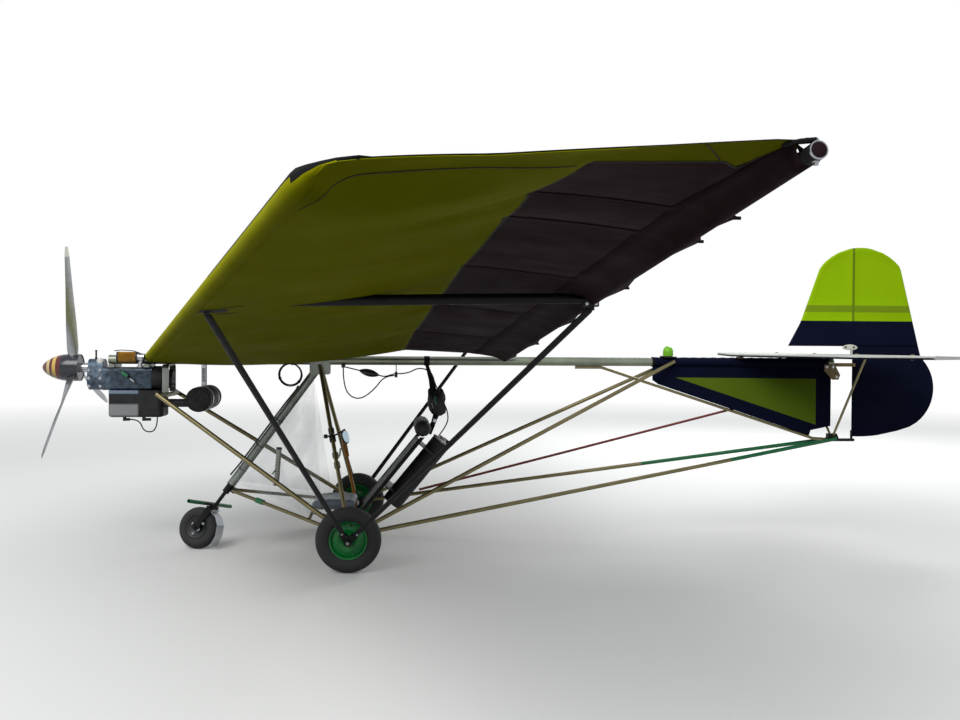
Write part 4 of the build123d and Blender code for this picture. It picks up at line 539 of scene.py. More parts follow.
# Painted highlight: the black pleated pan cloth is coloured bluish grey for the light on its pleats.
PAN_CLOTH = CoatedCloth("seat_cloth_silvered", "#76808C", rough=0.42)
STRAP_BLACK = Webbing("harness_webbing", "#101013")
TANK_PLASTIC = MouldedPlastic("tank_black", "#0C0D12")
CAP_PLASTIC = MouldedPlastic("cap_white", "#D8D8D2")
BLACK_PLASTIC = MouldedPlastic("plastic_black", "#101012")
GREEN_PLASTIC = MouldedPlastic("plastic_green", "#1C7A4E")
LIME_PLASTIC = MouldedPlastic("plastic_lime", "#7FCB12", rough=0.3)
STICK_PAINT = GlossEnamel("enamel_ochre", "#B8761A", rough=0.34)
VINYL = ClearVinyl("clear_vinyl", "#C3D0D6")


def dress_node(frame: dict, node: str, finish: Finish) -> None:
    """Give every material slot of a CAD node one finish.

    Args:
        node: name of the CAD node.
        finish: finish that it gets.
    """
    solid = frame["nodes"][node]
    for slot in solid.material_slots:
        slot.material = finish.material()
    LOG.info("dressed %s in %s", node, finish.name)


# Mesh helpers

def turns(count: int) -> list[float]:
    """Angles of equal steps once round, in radians."""
    return [2 * math.pi * step / count for step in range(count)]


def evenly(low: float, high: float, count: int) -> list[float]:
    """Values from low to high in equal steps, both ends with them."""
    return [low + (high - low) * step / count for step in range(count + 1)]


class Shape:
    """A mesh under construction, in metres in the row's frame, with one slot for each finish."""

    def __init__(self, name: str, *finishes: Finish) -> None:
        """Start an empty mesh.

        Args:
            name: name of the piece.
            finishes: its finishes; the first is slot 0.
        """
        self.name = name
        self.finishes = finishes
        self.mesh = bmesh.new()

    def sheet(self, rows: Sequence[Sequence[Point]], slot: int | Callable[[int, int], int] = 0,
              closed: bool = False) -> list[list[bmesh.types.BMVert]]:
        """Add a grid of quads.

        Args:
            rows: rows of points, all of one length.
            slot: finish slot, or a function of row and column that gives it.
            closed: whether each row closes on itself.
        Returns:
            The vertices, row by row.
        """
        made = [[self.mesh.verts.new(point) for point in row] for row in rows]
        for index, (low, high) in enumerate(zip(made, made[1:])):
            count = len(low) if closed else len(low) - 1
            for col in range(count):
                nxt = (col + 1) % len(low)
                face = self.mesh.faces.new((low[col], low[nxt], high[nxt], high[col]))
                face.material_index = slot(index, col) if callable(slot) else slot
        return made

    def fan(self, ring: Sequence[bmesh.types.BMVert], slot: int = 0) -> None:
        """Close a ring of vertices with one face."""
        face = self.mesh.faces.new(ring)
        face.material_index = slot

    def skin(self, rows: Sequence[Sequence[Point]], slot: int = 0) -> None:
        """Add a closed body: rings joined by quads, and one face over each end."""
        made = self.sheet(rows, slot, closed=True)
        self.fan(made[0][::-1], slot)
        self.fan(made[-1], slot)

    def lathe(self, profile: Sequence[tuple[float, float]], centre: Point, axis: Point,
              steps: int = 32, slot: int = 0, caps: bool = True) -> None:
        """Turn a profile about an axis.

        Args:
            profile: pairs of distance along the axis and radius.
            centre: point of the axis at distance 0.
            axis: direction of the axis.
            steps: segments round it.
            slot: finish slot.
            caps: whether both ends are closed.
        """
        along = Vector(axis).normalized()
        flat = along.orthogonal().normalized()
        other = along.cross(flat)
        rows = [[Vector(centre) + along * place + (flat * math.cos(turn) + other * math.sin(turn)) * radius
                 for turn in turns(steps)] for place, radius in profile]
        if caps:
            self.skin(rows, slot)
        else:
            self.sheet(rows, slot, closed=True)

    def collar(self, centre: Point, axis: Point, half: float, bore: float, outer: float,
               steps: int = 28, slot: int = 0) -> None:
        """Add a ring round a bar.

        Args:
            centre: its middle.
            axis: direction of the bar.
            half: half of its length.
            bore: inner radius.
            outer: outer radius.
            steps: segments round it.
            slot: finish slot.
        """
        self.lathe(((-half, bore), (-half, outer), (half, outer), (half, bore)), centre, axis, steps,
                   slot, caps=False)

    def tube(self, path: Sequence[Point], radius: float, sides: int = 12, slot: int = 0) -> None:
        """Add a round bar along a path.

        Args:
            path: points that it follows.
            radius: its radius.
            sides: segments round it.
            slot: finish slot.
        """
        points = [Vector(point) for point in path]
        rows = []
        flat = None
        for index, point in enumerate(points):
            before, after = points[max(index - 1, 0)], points[min(index + 1, len(points) - 1)]
            along = (after - before).normalized()
            if flat is None:
                flat = along.orthogonal()
            flat = (flat - along * flat.dot(along)).normalized()
            other = along.cross(flat)
            rows.append([point + (flat * math.cos(turn) + other * math.sin(turn)) * radius
                         for turn in turns(sides)])
        self.skin(rows, slot)

    def block(self, centre: Point, size: Point, slot: int = 0, axes: Optional[Matrix] = None,
              edge: float = 0.0) -> None:
        """Add a box with bevelled edges.

        Args:
            centre: its middle.
            size: its lengths along its own axes.
            slot: finish slot.
            axes: rotation of its axes.
            edge: bevel width.
        """
        turn = (axes or Matrix.Identity(3)).to_4x4()
        place = Matrix.Translation(Vector(centre)) @ turn @ Matrix.Diagonal((*size, 1.0))
        made = bmesh.ops.create_cube(self.mesh, size=1.0, matrix=place)["verts"]
        faces = {face for vert in made for face in vert.link_faces}
        for face in faces:
            face.material_index = slot
        if edge:
            edges = list({line for vert in made for line in vert.link_edges})
            bmesh.ops.bevel(self.mesh, geom=edges, offset=edge, segments=2, profile=0.7,
                            affect="EDGES")

    def bolt(self, centre: Point, axis: Point, across: float = 0.011, height: float = 0.006,
             slot: int = 0) -> None:
        """Add a hexagon head with its washer.

        Args:
            centre: point on the surface that it stands on.
            axis: direction in which it stands out.
            across: size over two corners.
            height: height of the head.
            slot: finish slot.
        """
        self.lathe(((0.0, across * 0.72), (height * 0.2, across * 0.72)), centre, axis, 16, slot)
        self.lathe(((height * 0.2, across / 2), (height * 0.9, across / 2), (height, across * 0.42)),
                   centre, axis, 6, slot)

    def finish(self, body: str, material_slot: str = "", replaces: Sequence[str] = (),
               crease_deg: float = 35.0, merge: float = 0.0) -> bpy.types.Object:
        """Turn the mesh into a piece that rides on a body.

        Args:
            body: CAD body that carries it.
            material_slot: not used.
            replaces: CAD nodes that it stands for.
            crease_deg: edges sharper than this stay sharp.
            merge: distance under which vertices are joined.
        Returns:
            The finished object.
        """
        if merge:
            bmesh.ops.remove_doubles(self.mesh, verts=self.mesh.verts, dist=merge)
        bmesh.ops.recalc_face_normals(self.mesh, faces=self.mesh.faces)
        for line in self.mesh.edges:
            line.smooth = line.calc_face_angle(0.0) < math.radians(crease_deg)
        for face in self.mesh.faces:
            face.smooth = True
        data = bpy.data.meshes.new(self.name)
        self.mesh.to_mesh(data)
        self.mesh.free()
        for finish in self.finishes:
            data.materials.append(finish.material())
        piece = bpy.data.objects.new(self.name, data)
        bpy.context.scene.collection.objects.link(piece)
        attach(piece, body)
        if replaces:
            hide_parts(*replaces)
        LOG.info("built %s: %d faces on %s", self.name, len(data.polygons), body)
        return piece


def between(value: float, places: Sequence[float], values: Sequence[float]) -> float:
    """Straight-line value between the entries of a short table, held at both ends."""
    if value <= places[0]:
        return values[0]
    for low, high, first, second in zip(places, places[1:], values, values[1:]):
        if value <= high:
            return first + (second - first) * (value - low) / (high - low)
    return values[-1]


def smooth(value: float, low: float, high: float) -> float:
    """Smooth step from 0 at low to 1 at high."""
    share = min(max((value - low) / (high - low), 0.0), 1.0)
    return share * share * (3 - 2 * share)


# Wing

@dataclass
class Wing:
    """Sail of one wing: a cambered upper sheet, a lower sheet under its front, and their seams."""
    side: Side
    le_root: tuple[float, float] = (-2.265, 1.212)
    le_sweep: float = 0.3175
    le_rise: float = 0.1045
    te_root: tuple[float, float] = (-0.012, 1.215)
    te_sweep: float = 0.041
    te_rise: float = 0.1168
    wrap_r: float = 0.0285
    te_lift: float = 0.0205
    root_y: float = 0.048
    tip_y: float = 4.325
    corner_r: float = 0.09
    battens: tuple[float, ...] = (0.78, 1.69, 2.63, 3.44, 3.73)
    folds: tuple[tuple[tuple[float, float], tuple[float, float], float], ...] = (
        ((2.78, 0.34), (2.62, 0.60), 0.006), ((1.68, 0.36), (1.84, 0.64), 0.007),
        ((2.30, 0.10), (1.95, 0.52), 0.005), ((0.9, 0.30), (1.25, 0.62), 0.006),
        ((3.30, 0.22), (3.55, 0.55), 0.004))
    cloth_t: float = 0.0012
    wrap_turns: tuple[float, ...] = (-95, -70, -40, -10, 14, 24, 52)
    fullness: float = 0.42
    tape_from: float = 2.9
    corner_from: float = 4.22
    sleeve_r: float = 0.0212
    span_slant: float = 1.06
    turned_in: float = 0.10
    peak: float = 0.32
    band_from: float = 3.86
    tip_rows: int = 8

    def leading(self, y: float) -> tuple[float, float]:
        """X and Z of the leading edge tube's line at one station."""
        return self.le_root[0] + self.le_sweep * y, self.le_root[1] + self.le_rise * y

    def trailing(self, y: float) -> tuple[float, float]:
        """X and Z of the trailing edge tube's line at one station."""
        return self.te_root[0] + self.te_sweep * y, self.te_root[1] + self.te_rise * y

    def joint_share(self, y: float) -> float:
        """Share of the chord at which the lower sheet is sewn to the upper one."""
        return between(y, (0.0, 0.8, 1.71, 2.57, 3.30, 3.76, 4.07, 4.325),
                       (0.71, 0.69, 0.664, 0.632, 0.60, 0.585, 0.60, 0.64))

    def band_y(self, share: float) -> float:
        """Station of the tip band's inner seam at a share of the chord."""
        return between(share, (0.0, 0.014, 0.03, 0.06, 0.10, 0.20, 0.36, 0.567, 0.663, 0.874, 0.915, 0.93,
                               0.96, 1.1),
                       (4.04, 4.115, 4.165, 4.203, 4.211, 4.199, 4.191, 4.136, 4.156, 4.188, 4.150, 4.20,
                        4.272, 4.30))

    def start_share(self, y: float) -> float:
        """Share of the chord at which the cloth starts: 0, or more round the tip's corner."""
        over = max(y - (self.tip_y - self.corner_r), 0.0)
        back = self.corner_r - math.sqrt(max(self.corner_r ** 2 - over ** 2, 0.0))
        return back / (self.trailing(y)[0] - self.leading(y)[0])

    def end_share(self, y: float) -> float:
        """Share of the chord at which the cloth ends, scalloped between the battens."""
        chord = self.trailing(y)[0] - self.leading(y)[0]
        if y > 4.25:
            return between(y, (4.25, self.tip_y), (1.012, 0.965))
        stops = (self.root_y,) + self.battens
        over = 0.022
        for inner, outer in zip(stops, stops[1:]):
            if inner <= y <= outer:
                dip = math.sin(math.pi * (y - inner) / (outer - inner))
                over = 0.078 - 0.038 * dip
        if y > self.battens[-1]:
            over = between(y, (self.battens[-1], self.battens[-1] + 0.03), (0.078, 0.022))
        return 1.0 + over / chord

    def rise(self, y: float, share: float) -> float:
        """Height of the upper sheet over the straight line between the two tubes."""
        camber = between(y, (0.048, 0.5, 2.406, 3.73, 4.12, 4.325),
                         (0.047, 0.085, 0.104, 0.084, 0.05, 0.012))
        edge = between(share, (0.0, 0.35, 0.7, 0.93, 1.0), (-0.004, -0.011, 0.002, 0.014, 0.012))
        if share < self.peak:
            shape = 1 - ((self.peak - max(share, 0.0)) / self.peak) ** 2.2
        else:
            shape = 1 - ((share - self.peak) / (1 - self.peak)) ** 2
        held = min(share, 1.0)
        base = self.wrap_r * 0.9 * (1 - held) + self.te_lift * held
        stops = (self.root_y,) + self.battens + (self.tip_y,)
        sag = 0.0
        for inner, outer in zip(stops, stops[1:]):
            if inner <= y < outer:
                sag = math.sin(math.pi * (y - inner) / (outer - inner)) ** 0.7
        droop = 0.011 * sag * smooth(share, 0.15, 0.55) * (1 - smooth(y, 4.05, 4.3))
        droop *= 1 - smooth(share, 0.88, 0.97)
        return base + camber * max(shape, -0.12) - droop + edge * smooth(y, 4.12, self.tip_y)

    def place(self, y: float, share: float, height: float) -> Vector:
        """Point at a station, a share of the chord and a height over the tubes' line."""
        nose, tail = self.leading(y), self.trailing(y)
        return Vector((nose[0] + share * (tail[0] - nose[0]), y * self.side.value,
                       nose[1] + share * (tail[1] - nose[1]) + height))

    def low_rise(self, y: float, share: float) -> float:
        """Height of the lower sheet over the straight line between the two tubes."""
        joint, start = self.joint_share(y), self.start_share(y)
        along = min(max((share - start) / (joint - start), 0.0), 1.0)
        meet = self.rise(y, joint) - 0.002
        sag = between(y, (0.0, 1.2, 2.4, 3.8, 4.325), (0.052, 0.050, 0.031, 0.026, 0.004))
        low = -self.wrap_r + (meet + self.wrap_r) * along - 4 * sag * along * (1 - along)
        low += self.folded(y, share)
        front = 1 - smooth(share - start, 0.0, 0.12)
        closes = smooth(y, 4.0 + 0.205 * front, self.tip_y - 0.010 * front)
        return low + (self.rise(y, share) - 0.004 - low) * closes

    def folded(self, y: float, share: float) -> float:
        """Depth of the tension folds that fan out from the spreader bar and the struts."""
        depth = 0.0
        for (y0, s0), (y1, s1), deep in self.folds:
            dy, ds = y1 - y0, (s1 - s0) * 2.0
            along = min(max(((y - y0) * dy + (share - s0) * 2.0 * ds) / (dy * dy + ds * ds), 0.0), 1.0)
            away = math.hypot(y - y0 - along * dy, (share - s0) * 2.0 - along * ds)
            depth -= deep * math.exp(-(away / 0.030) ** 2) * math.sin(math.pi * along) ** 0.5
        return depth

    def stations(self) -> list[float]:
        """Stations of the grid's rows, with one on each batten."""
        stops = (self.root_y,) + self.battens + (self.band_from,)
        found = []
        for inner, outer in zip(stops, stops[1:]):
            count = max(2, round((outer - inner) / 0.055))
            found += evenly(inner, outer, count)[:-1]
        return found + [self.band_from]

    def rows(self) -> list[Callable[[float], float]]:
        """Rows of the grid, each a function from a share of the chord to a station."""
        made: list[Callable[[float], float]] = []
        for y in self.stations():
            made.append(lambda share, y=y: y)
        for step in range(1, 5):
            made.append(lambda share, k=step / 4:
                        self.band_from + (self.band_y(share) - self.band_from) * k)
        for step in range(1, self.tip_rows + 1):
            made.append(lambda share, k=step / self.tip_rows:
                        self.band_y(share) + (self.tip_y - self.band_y(share)) * (1 - (1 - k) ** 1.6))
        return made

    def wrap_points(self, y: float) -> list[Vector]:
        """Points of the cloth round the front of the leading edge tube, from below to above."""
        closing = smooth(y, 4.205, 4.315)
        radius = self.wrap_r + (0.004 - self.wrap_r) * closing
        start = self.start_share(y)
        middle = self.place(y, start, 0.0)
        lift = self.rise(y, start) * closing
        found = []
        for degree in self.wrap_turns:
            turn = math.radians(degree)
            loose = radius * (1 + self.fullness * smooth(degree, self.wrap_turns[0], 30.0))
            found.append(Vector((middle.x - loose * math.cos(turn), middle.y,
                                 middle.z + lift + loose * math.sin(turn))))
        return found

    def upper_row(self, row: Callable[[float], float], front: int, rear: int) -> list[Vector]:
        """One row of the upper sheet: round the tube, up over the camber and back."""
        y0 = row(0.0)
        points = self.wrap_points(y0)
        start = self.start_share(y0)
        for step in range(1, front + 1):
            share = start + (self.joint_share(y0) - start) * (step / front) ** 1.15
            y = row(share)
            points.append(self.place(y, share, self.rise(y, share)))
        joint = share
        for step in range(1, rear + 1):
            share = joint + (self.end_share(row(1.0)) - joint) * step / rear
            y = row(share)
            points.append(self.place(y, share, self.rise(y, share)))
        return points

    def upper_sheet(self) -> None:
        """Upper sheet with its lime front, dark rear and lime tip band."""
        front, rear = 16, 18
        rows = self.rows()
        last = len(rows) - 2
        dark_from = len(self.wrap_turns) + front - 1
        shape = Shape(f"sail_upper_{self.side.word}", LIME_CLOTH, DARK_CLOTH, BLACK_TAPE)

        def slot(index: int, col: int) -> int:
            """Lime, dark, or the black tape along the leading edge and the tip."""
            y = rows[index](0.0)
            taped = (col in (4, 5) and y > self.tape_from) or (col == 3 and y > self.corner_from)
            if index == last or taped:
                return 2
            return 1 if col >= dark_from and index < len(rows) - self.tip_rows - 1 else 0

        shape.sheet([self.upper_row(row, front, rear) for row in rows], slot)
        piece = shape.finish("airframe", "sail_cloth", (f"sail_{self.side.word}",), 50.0)
        self.thicken(piece, self.cloth_t)
        self.declare(1.04)

    def lower_sheet(self) -> None:
        """Lower sheet, from the leading edge to the sewn joint."""
        shape = Shape(f"sail_lower_{self.side.word}", LIME_CLOTH)
        made = []
        for row in self.rows():
            y0 = row(0.0)
            shares = evenly(self.start_share(y0), self.joint_share(y0), 40)
            made.append([self.place(row(share), share, self.low_rise(row(share), share)) for share in shares])
        shape.sheet(made)
        piece = shape.finish("airframe", "sail_cloth", ("sail_lower",), 50.0)
        self.thicken(piece, self.cloth_t)
        self.declare(self.joint_share(2.2))

    def declare(self, end: float) -> None:
        """Work out the chord at the root; nothing more is done with it."""
        chord = self.trailing(self.root_y)[0] - self.leading(self.root_y)[0]

    def thicken(self, piece: bpy.types.Object, depth: float) -> None:
        """Give a sheet its real thickness."""
        skin = piece.modifiers.new("cloth", "SOLIDIFY")
        skin.thickness = depth
        skin.offset = 0.0

    def ribbon(self, shape: Shape, centre: Sequence[tuple[float, float]], width: float,
               height: Callable[[float, float], float], along_span: bool, drop: float,
               slot: int = 0) -> None:
        """Lay a flat tape under a sheet.

        Args:
            shape: mesh that takes the tape.
            centre: stations and chord shares of its middle line.
            width: width of the tape.
            height: sheet height at a station and share.
            along_span: whether it runs along the span, so that its width runs along the chord.
            drop: distance under the sheet.
            slot: finish slot.
        """
        rows = []
        for y, share in centre:
            chord = self.trailing(y)[0] - self.leading(y)[0]
            row = []
            for shift in (-0.5, -0.25, 0.0, 0.25, 0.5):
                if along_span:
                    at_y, at_share = y, share + shift * width / chord
                else:
                    at_y, at_share = y + shift * width, share
                bulge = drop * (1.0 if abs(shift) < 0.3 else 0.6)
                row.append(self.place(at_y, at_share, height(at_y, at_share) - bulge))
            rows.append(row)
        shape.sheet(rows, slot)

    def seams(self) -> None:
        """Batten pockets on the dark panel, the sewn joint of the two sheets and the tip seam."""
        pockets = Shape(f"batten_pockets_{self.side.word}", DARK_CLOTH, BLACK_TAPE)
        for y in self.battens:
            joint = self.joint_share(y)
            end = self.end_share(y)
            line = [(y, share) for share in evenly(joint, end, 24)]
            self.ribbon(pockets, line, 0.034, self.rise, False, 0.0045)
            tip = self.place(y, end, self.rise(y, end) - 0.002)
            pockets.tube([tip + Vector((-0.05, 0, 0)), tip + Vector((0.008, 0, 0))], 0.005, 8, 1)
        pockets.finish("airframe", "sail_cloth")
        seams = Shape(f"sail_seams_{self.side.word}", SEAM_THREAD, BLACK_TAPE)
        stops = evenly(self.root_y + 0.01, 4.06, 60)
        self.ribbon(seams, [(y, self.joint_share(y)) for y in stops], 0.012, self.rise, True, 0.0035)
        for low, high, count, width, height in ((0.012, 0.577, 60, 0.007, self.low_rise),
                                                (0.58, 0.96, 40, 0.010, self.rise)):
            line = [(self.band_y(share), share) for share in evenly(low, high, count)]
            self.ribbon(seams, line, width, height, False, 0.0025)
        across = list(zip(evenly(4.19, 4.315, 6), evenly(0.865, 0.785, 6)))
        self.ribbon(seams, across, 0.005, self.rise, True, 0.0025)
        edge = [(y, self.end_share(y) - 0.006)
                for y in evenly(self.root_y + 0.01, self.root_y + 4.11, 120)]
        self.ribbon(seams, edge, 0.018, self.rise, True, 0.0022, 1)
        seams.finish("airframe", "sail_cloth")

    def sleeve(self) -> None:
        """Dark cloth that wraps under the trailing edge tube and meets the rear lip."""
        shape = Shape(f"sail_sleeve_{self.side.word}", DARK_CLOTH)
        rows = []
        for y in evenly(self.root_y + 0.004, 4.318, 80):
            middle = self.place(y, 1.0, 0.0)
            front = between(y, (3.9, 4.15, 4.3), (0.905, 0.93, 0.965))
            row = [self.place(y, share, self.rise(y, share) - drop)
                   for share, drop in ((front, 0.002), ((front + 0.97) / 2, 0.006), (0.97, 0.014))]
            for degree in (215, 240, 265, 290, 315, 340):
                turn = math.radians(degree)
                row.append(Vector((middle.x + self.sleeve_r * math.cos(turn), middle.y,
                                   middle.z + self.sleeve_r * math.sin(turn))))
            end = self.end_share(y)
            row.append(self.place(y, end, self.rise(y, end) - 0.002))
            rows.append(row)
        shape.sheet(rows)
        piece = shape.finish("airframe", "sail_cloth", (), 60.0)
        self.thicken(piece, self.cloth_t)
        self.declare(1.06)

    def tip_strap(self) -> None:
        """Webbing from the tip's rear corner round the end of the trailing edge tube."""
        end_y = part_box("wing_spars")[1][1] - 0.0025
        tail = self.trailing(end_y)
        ring = Vector((tail[0], end_y * self.side.value, tail[1]))
        corner = self.place(4.30, 0.955, self.rise(4.30, 0.955) - 0.003)
        along = Vector((self.te_sweep, self.side.value, self.te_rise)).normalized()
        shape = Shape(f"tip_strap_{self.side.word}", STRAP_BLACK, STEEL, CAP_PLASTIC, DARK_CLOTH)
        over = ring - along * 0.014 + Vector((-0.004, 0, 0.0245))
        for shift in (-0.009, 0.0, 0.009):
            offset = Vector((0, shift, 0))
            shape.tube([corner + offset, (corner + over) / 2 + offset + Vector((0, 0, 0.002)),
                        over + offset], 0.0052, 8)
        for share in (0.3, 0.5, 0.7):
            stitch = corner.lerp(over, share) + Vector((0, 0, 0.0035))
            shape.block(stitch, (0.006, 0.021, 0.006), 2, None, 0.001)
        shape.lathe(((-0.150, 0.0193), (-0.150, 0.0205), (-0.004, 0.0208), (-0.004, 0.0193)), ring,
                    along, 28, 0, caps=False)
        shape.lathe(((-0.004, 0.0193), (-0.004, 0.0208), (0.001, 0.0208), (0.001, 0.0180)), ring,
                    along, 28, 1, caps=False)
        shape.lathe(((-0.001, 0.0180), (0.0008, 0.0180), (0.0012, 0.0172)), ring, along, 28, 3)
        for way in (-1, 1):
            shape.bolt(ring - along * 0.014 + Vector((0, 0, 0.0205 * way)), (0, 0, way), 0.012, 0.009, 1)
        shape.finish("airframe", "sail_cloth")

    def strut_patches(self) -> None:
        """Dark reinforcing patches with stitched straps where the struts meet the sail."""
        shape = Shape(f"strut_patches_{self.side.word}", BLACK_TAPE, SEAM_THREAD)
        shares = [max(0.0125 * part - 0.030, 0.001) for part in range(9)]
        shape.sheet([[self.place(y, share, self.low_rise(y, share) - 0.003) for share in shares]
                     for y in evenly(2.366, 2.446, 6)])
        for y in (2.30, 2.48):
            line = list(zip(evenly(y, y + 0.04, 4), evenly(0.05, 0.10, 4)))
            self.ribbon(shape, line, 0.008, self.low_rise, False, 0.0025, 1)
        shape.finish("airframe", "sail_cloth")

    def build(self) -> None:
        """Build the whole sail."""
        self.upper_sheet()
        self.lower_sheet()
        self.seams()
        self.sleeve()
        self.tip_strap()
        self.strut_patches()


# Covered tail surfaces

@dataclass
class CoveredPanel:
    """Cloth pulled over a flat tube frame: full at the tubes, hollow between them.

    The first finish is for the face that looks along the panel's third direction, the last for the other.
    """
    name: str
    body: str
    replaces: tuple[str, ...]
    outline: Sequence[tuple[float, float]]
    to_space: Callable[[float, float, float], Vector]
    finishes: tuple[Finish, ...]
    frames: Sequence[Sequence[tuple[float, float]]] = ()
    full: float = 0.0105
    hollow: float = 0.0055
    pitch: float = 0.028

    def edge_gap(self, u: float, v: float, lines: Sequence[Sequence[tuple[float, float]]],
                 closed: bool) -> float:
        """Distance from a point to the nearest of some lines."""
        best = math.inf
        for line in lines:
            pairs = list(zip(line, line[1:])) + ([(line[-1], line[0])] if closed else [])
            for (u0, v0), (u1, v1) in pairs:
                du, dv = u1 - u0, v1 - v0
                size = du * du + dv * dv
                share = 0.0 if size == 0 else min(max(((u - u0) * du + (v - v0) * dv) / size, 0), 1)
                best = min(best, math.hypot(u - u0 - share * du, v - v0 - share * dv))
        return best

    def half(self, u: float, v: float) -> float:
        """Half thickness of the covered frame at one place."""
        rim = self.edge_gap(u, v, [self.outline], True)
        tube = min(rim, self.edge_gap(u, v, self.frames, False)) if self.frames else rim
        body = self.hollow + (self.full - self.hollow) * math.exp(-(max(tube - 0.008, 0) / 0.022) ** 2)
        round_off = min(rim / self.full, 1.0)
        return body * math.sqrt(max(1 - (1 - round_off) ** 2, 0.0))

    def spans(self, v: float) -> Optional[tuple[float, float]]:
        """Both ends of the outline at one height, or None outside it."""
        hits = []
        loop = list(self.outline) + [self.outline[0]]
        for (u0, v0), (u1, v1) in zip(loop, loop[1:]):
            if v0 != v1 and min(v0, v1) - 1e-9 <= v <= max(v0, v1) + 1e-9:
                hits.append(u0 + (u1 - u0) * (v - v0) / (v1 - v0))
        return (min(hits), max(hits)) if hits else None

    def places(self, low: float, high: float) -> list[float]:
        """Grid places from low to high, closer together at both rims."""
        rim = [0.0, 0.0012, 0.004, 0.0085]
        inner_low, inner_high = low + rim[-1], high - rim[-1]
        if inner_high <= inner_low:
            return evenly(low, high, 8)
        count = max(2, round((inner_high - inner_low) / self.pitch))
        found = [low + gap for gap in rim[:-1]] + evenly(inner_low, inner_high, count)
        found += [high - gap for gap in rim[:-1]]
        return sorted(set(round(value, 6) for value in found))

    def build(self) -> None:
        """Build both faces of the panel and join them round the rim."""
        shape = Shape(self.name, *self.finishes)
        v_all = [v for _, v in self.outline]
        heights = self.places(min(v_all), max(v_all))
        across = max(8, round((max(u for u, _ in self.outline) - min(u for u, _ in self.outline))
                              / self.pitch))
        for face in (-1, 1):
            rows = []
            for v in heights:
                ends = self.spans(v)
                if ends is None:
                    continue
                low, high = ends
                width = max(high - low, 1e-5)
                inner = [0.0] + [min(gap, width * 0.1 * (i + 2))
                                 for i, gap in enumerate((0.0015, 0.005, 0.0095))]
                line = [low + gap for gap in inner[:-1]]
                line += evenly(low + inner[-1], low + width - inner[-1], across)
                line += [high - gap for gap in reversed(inner[:-1])]
                rows.append([self.to_space(u, v, face * self.half(u, v)) for u in line])
            shape.sheet(rows, len(self.finishes) - 1 if face < 0 else 0)
        shape.finish(self.body, "", self.replaces, 60.0, merge=2e-5)


def arc_points(start: Point, middle: Point, end: Point, count: int) -> list[tuple[float, float]]:
    """Points on the circle through three points in a plane.

    Args:
        start: first point.
        middle: a point between.
        end: last point.
        count: number of steps.
    Returns:
        The points, both ends with them.
    """
    (ax, ay), (bx, by), (cx, cy) = start, middle, end
    twice = 2 * (ax * (by - cy) + bx * (cy - ay) + cx * (ay - by))
    ux = ((ax**2 + ay**2) * (by - cy) + (bx**2 + by**2) * (cy - ay) + (cx**2 + cy**2) * (ay - by)) / twice
    uy = ((ax**2 + ay**2) * (cx - bx) + (bx**2 + by**2) * (ax - cx) + (cx**2 + cy**2) * (bx - ax)) / twice
    radius = math.hypot(ax - ux, ay - uy)
    first = math.atan2(ay - uy, ax - ux)
    through = (math.atan2(by - uy, bx - ux) - first) % (2 * math.pi)
    last = (math.atan2(cy - uy, cx - ux) - first) % (2 * math.pi)
    if through > last:
        last -= 2 * math.pi
    return [(ux + radius * math.cos(first + last * step / count),
             uy + radius * math.sin(first + last * step / count)) for step in range(count + 1)]


def upright(u: float, v: float, out: float) -> Vector:
    """Point of a panel that stands along the keel, at X, Z and a distance out."""
    return Vector((u, out, v))


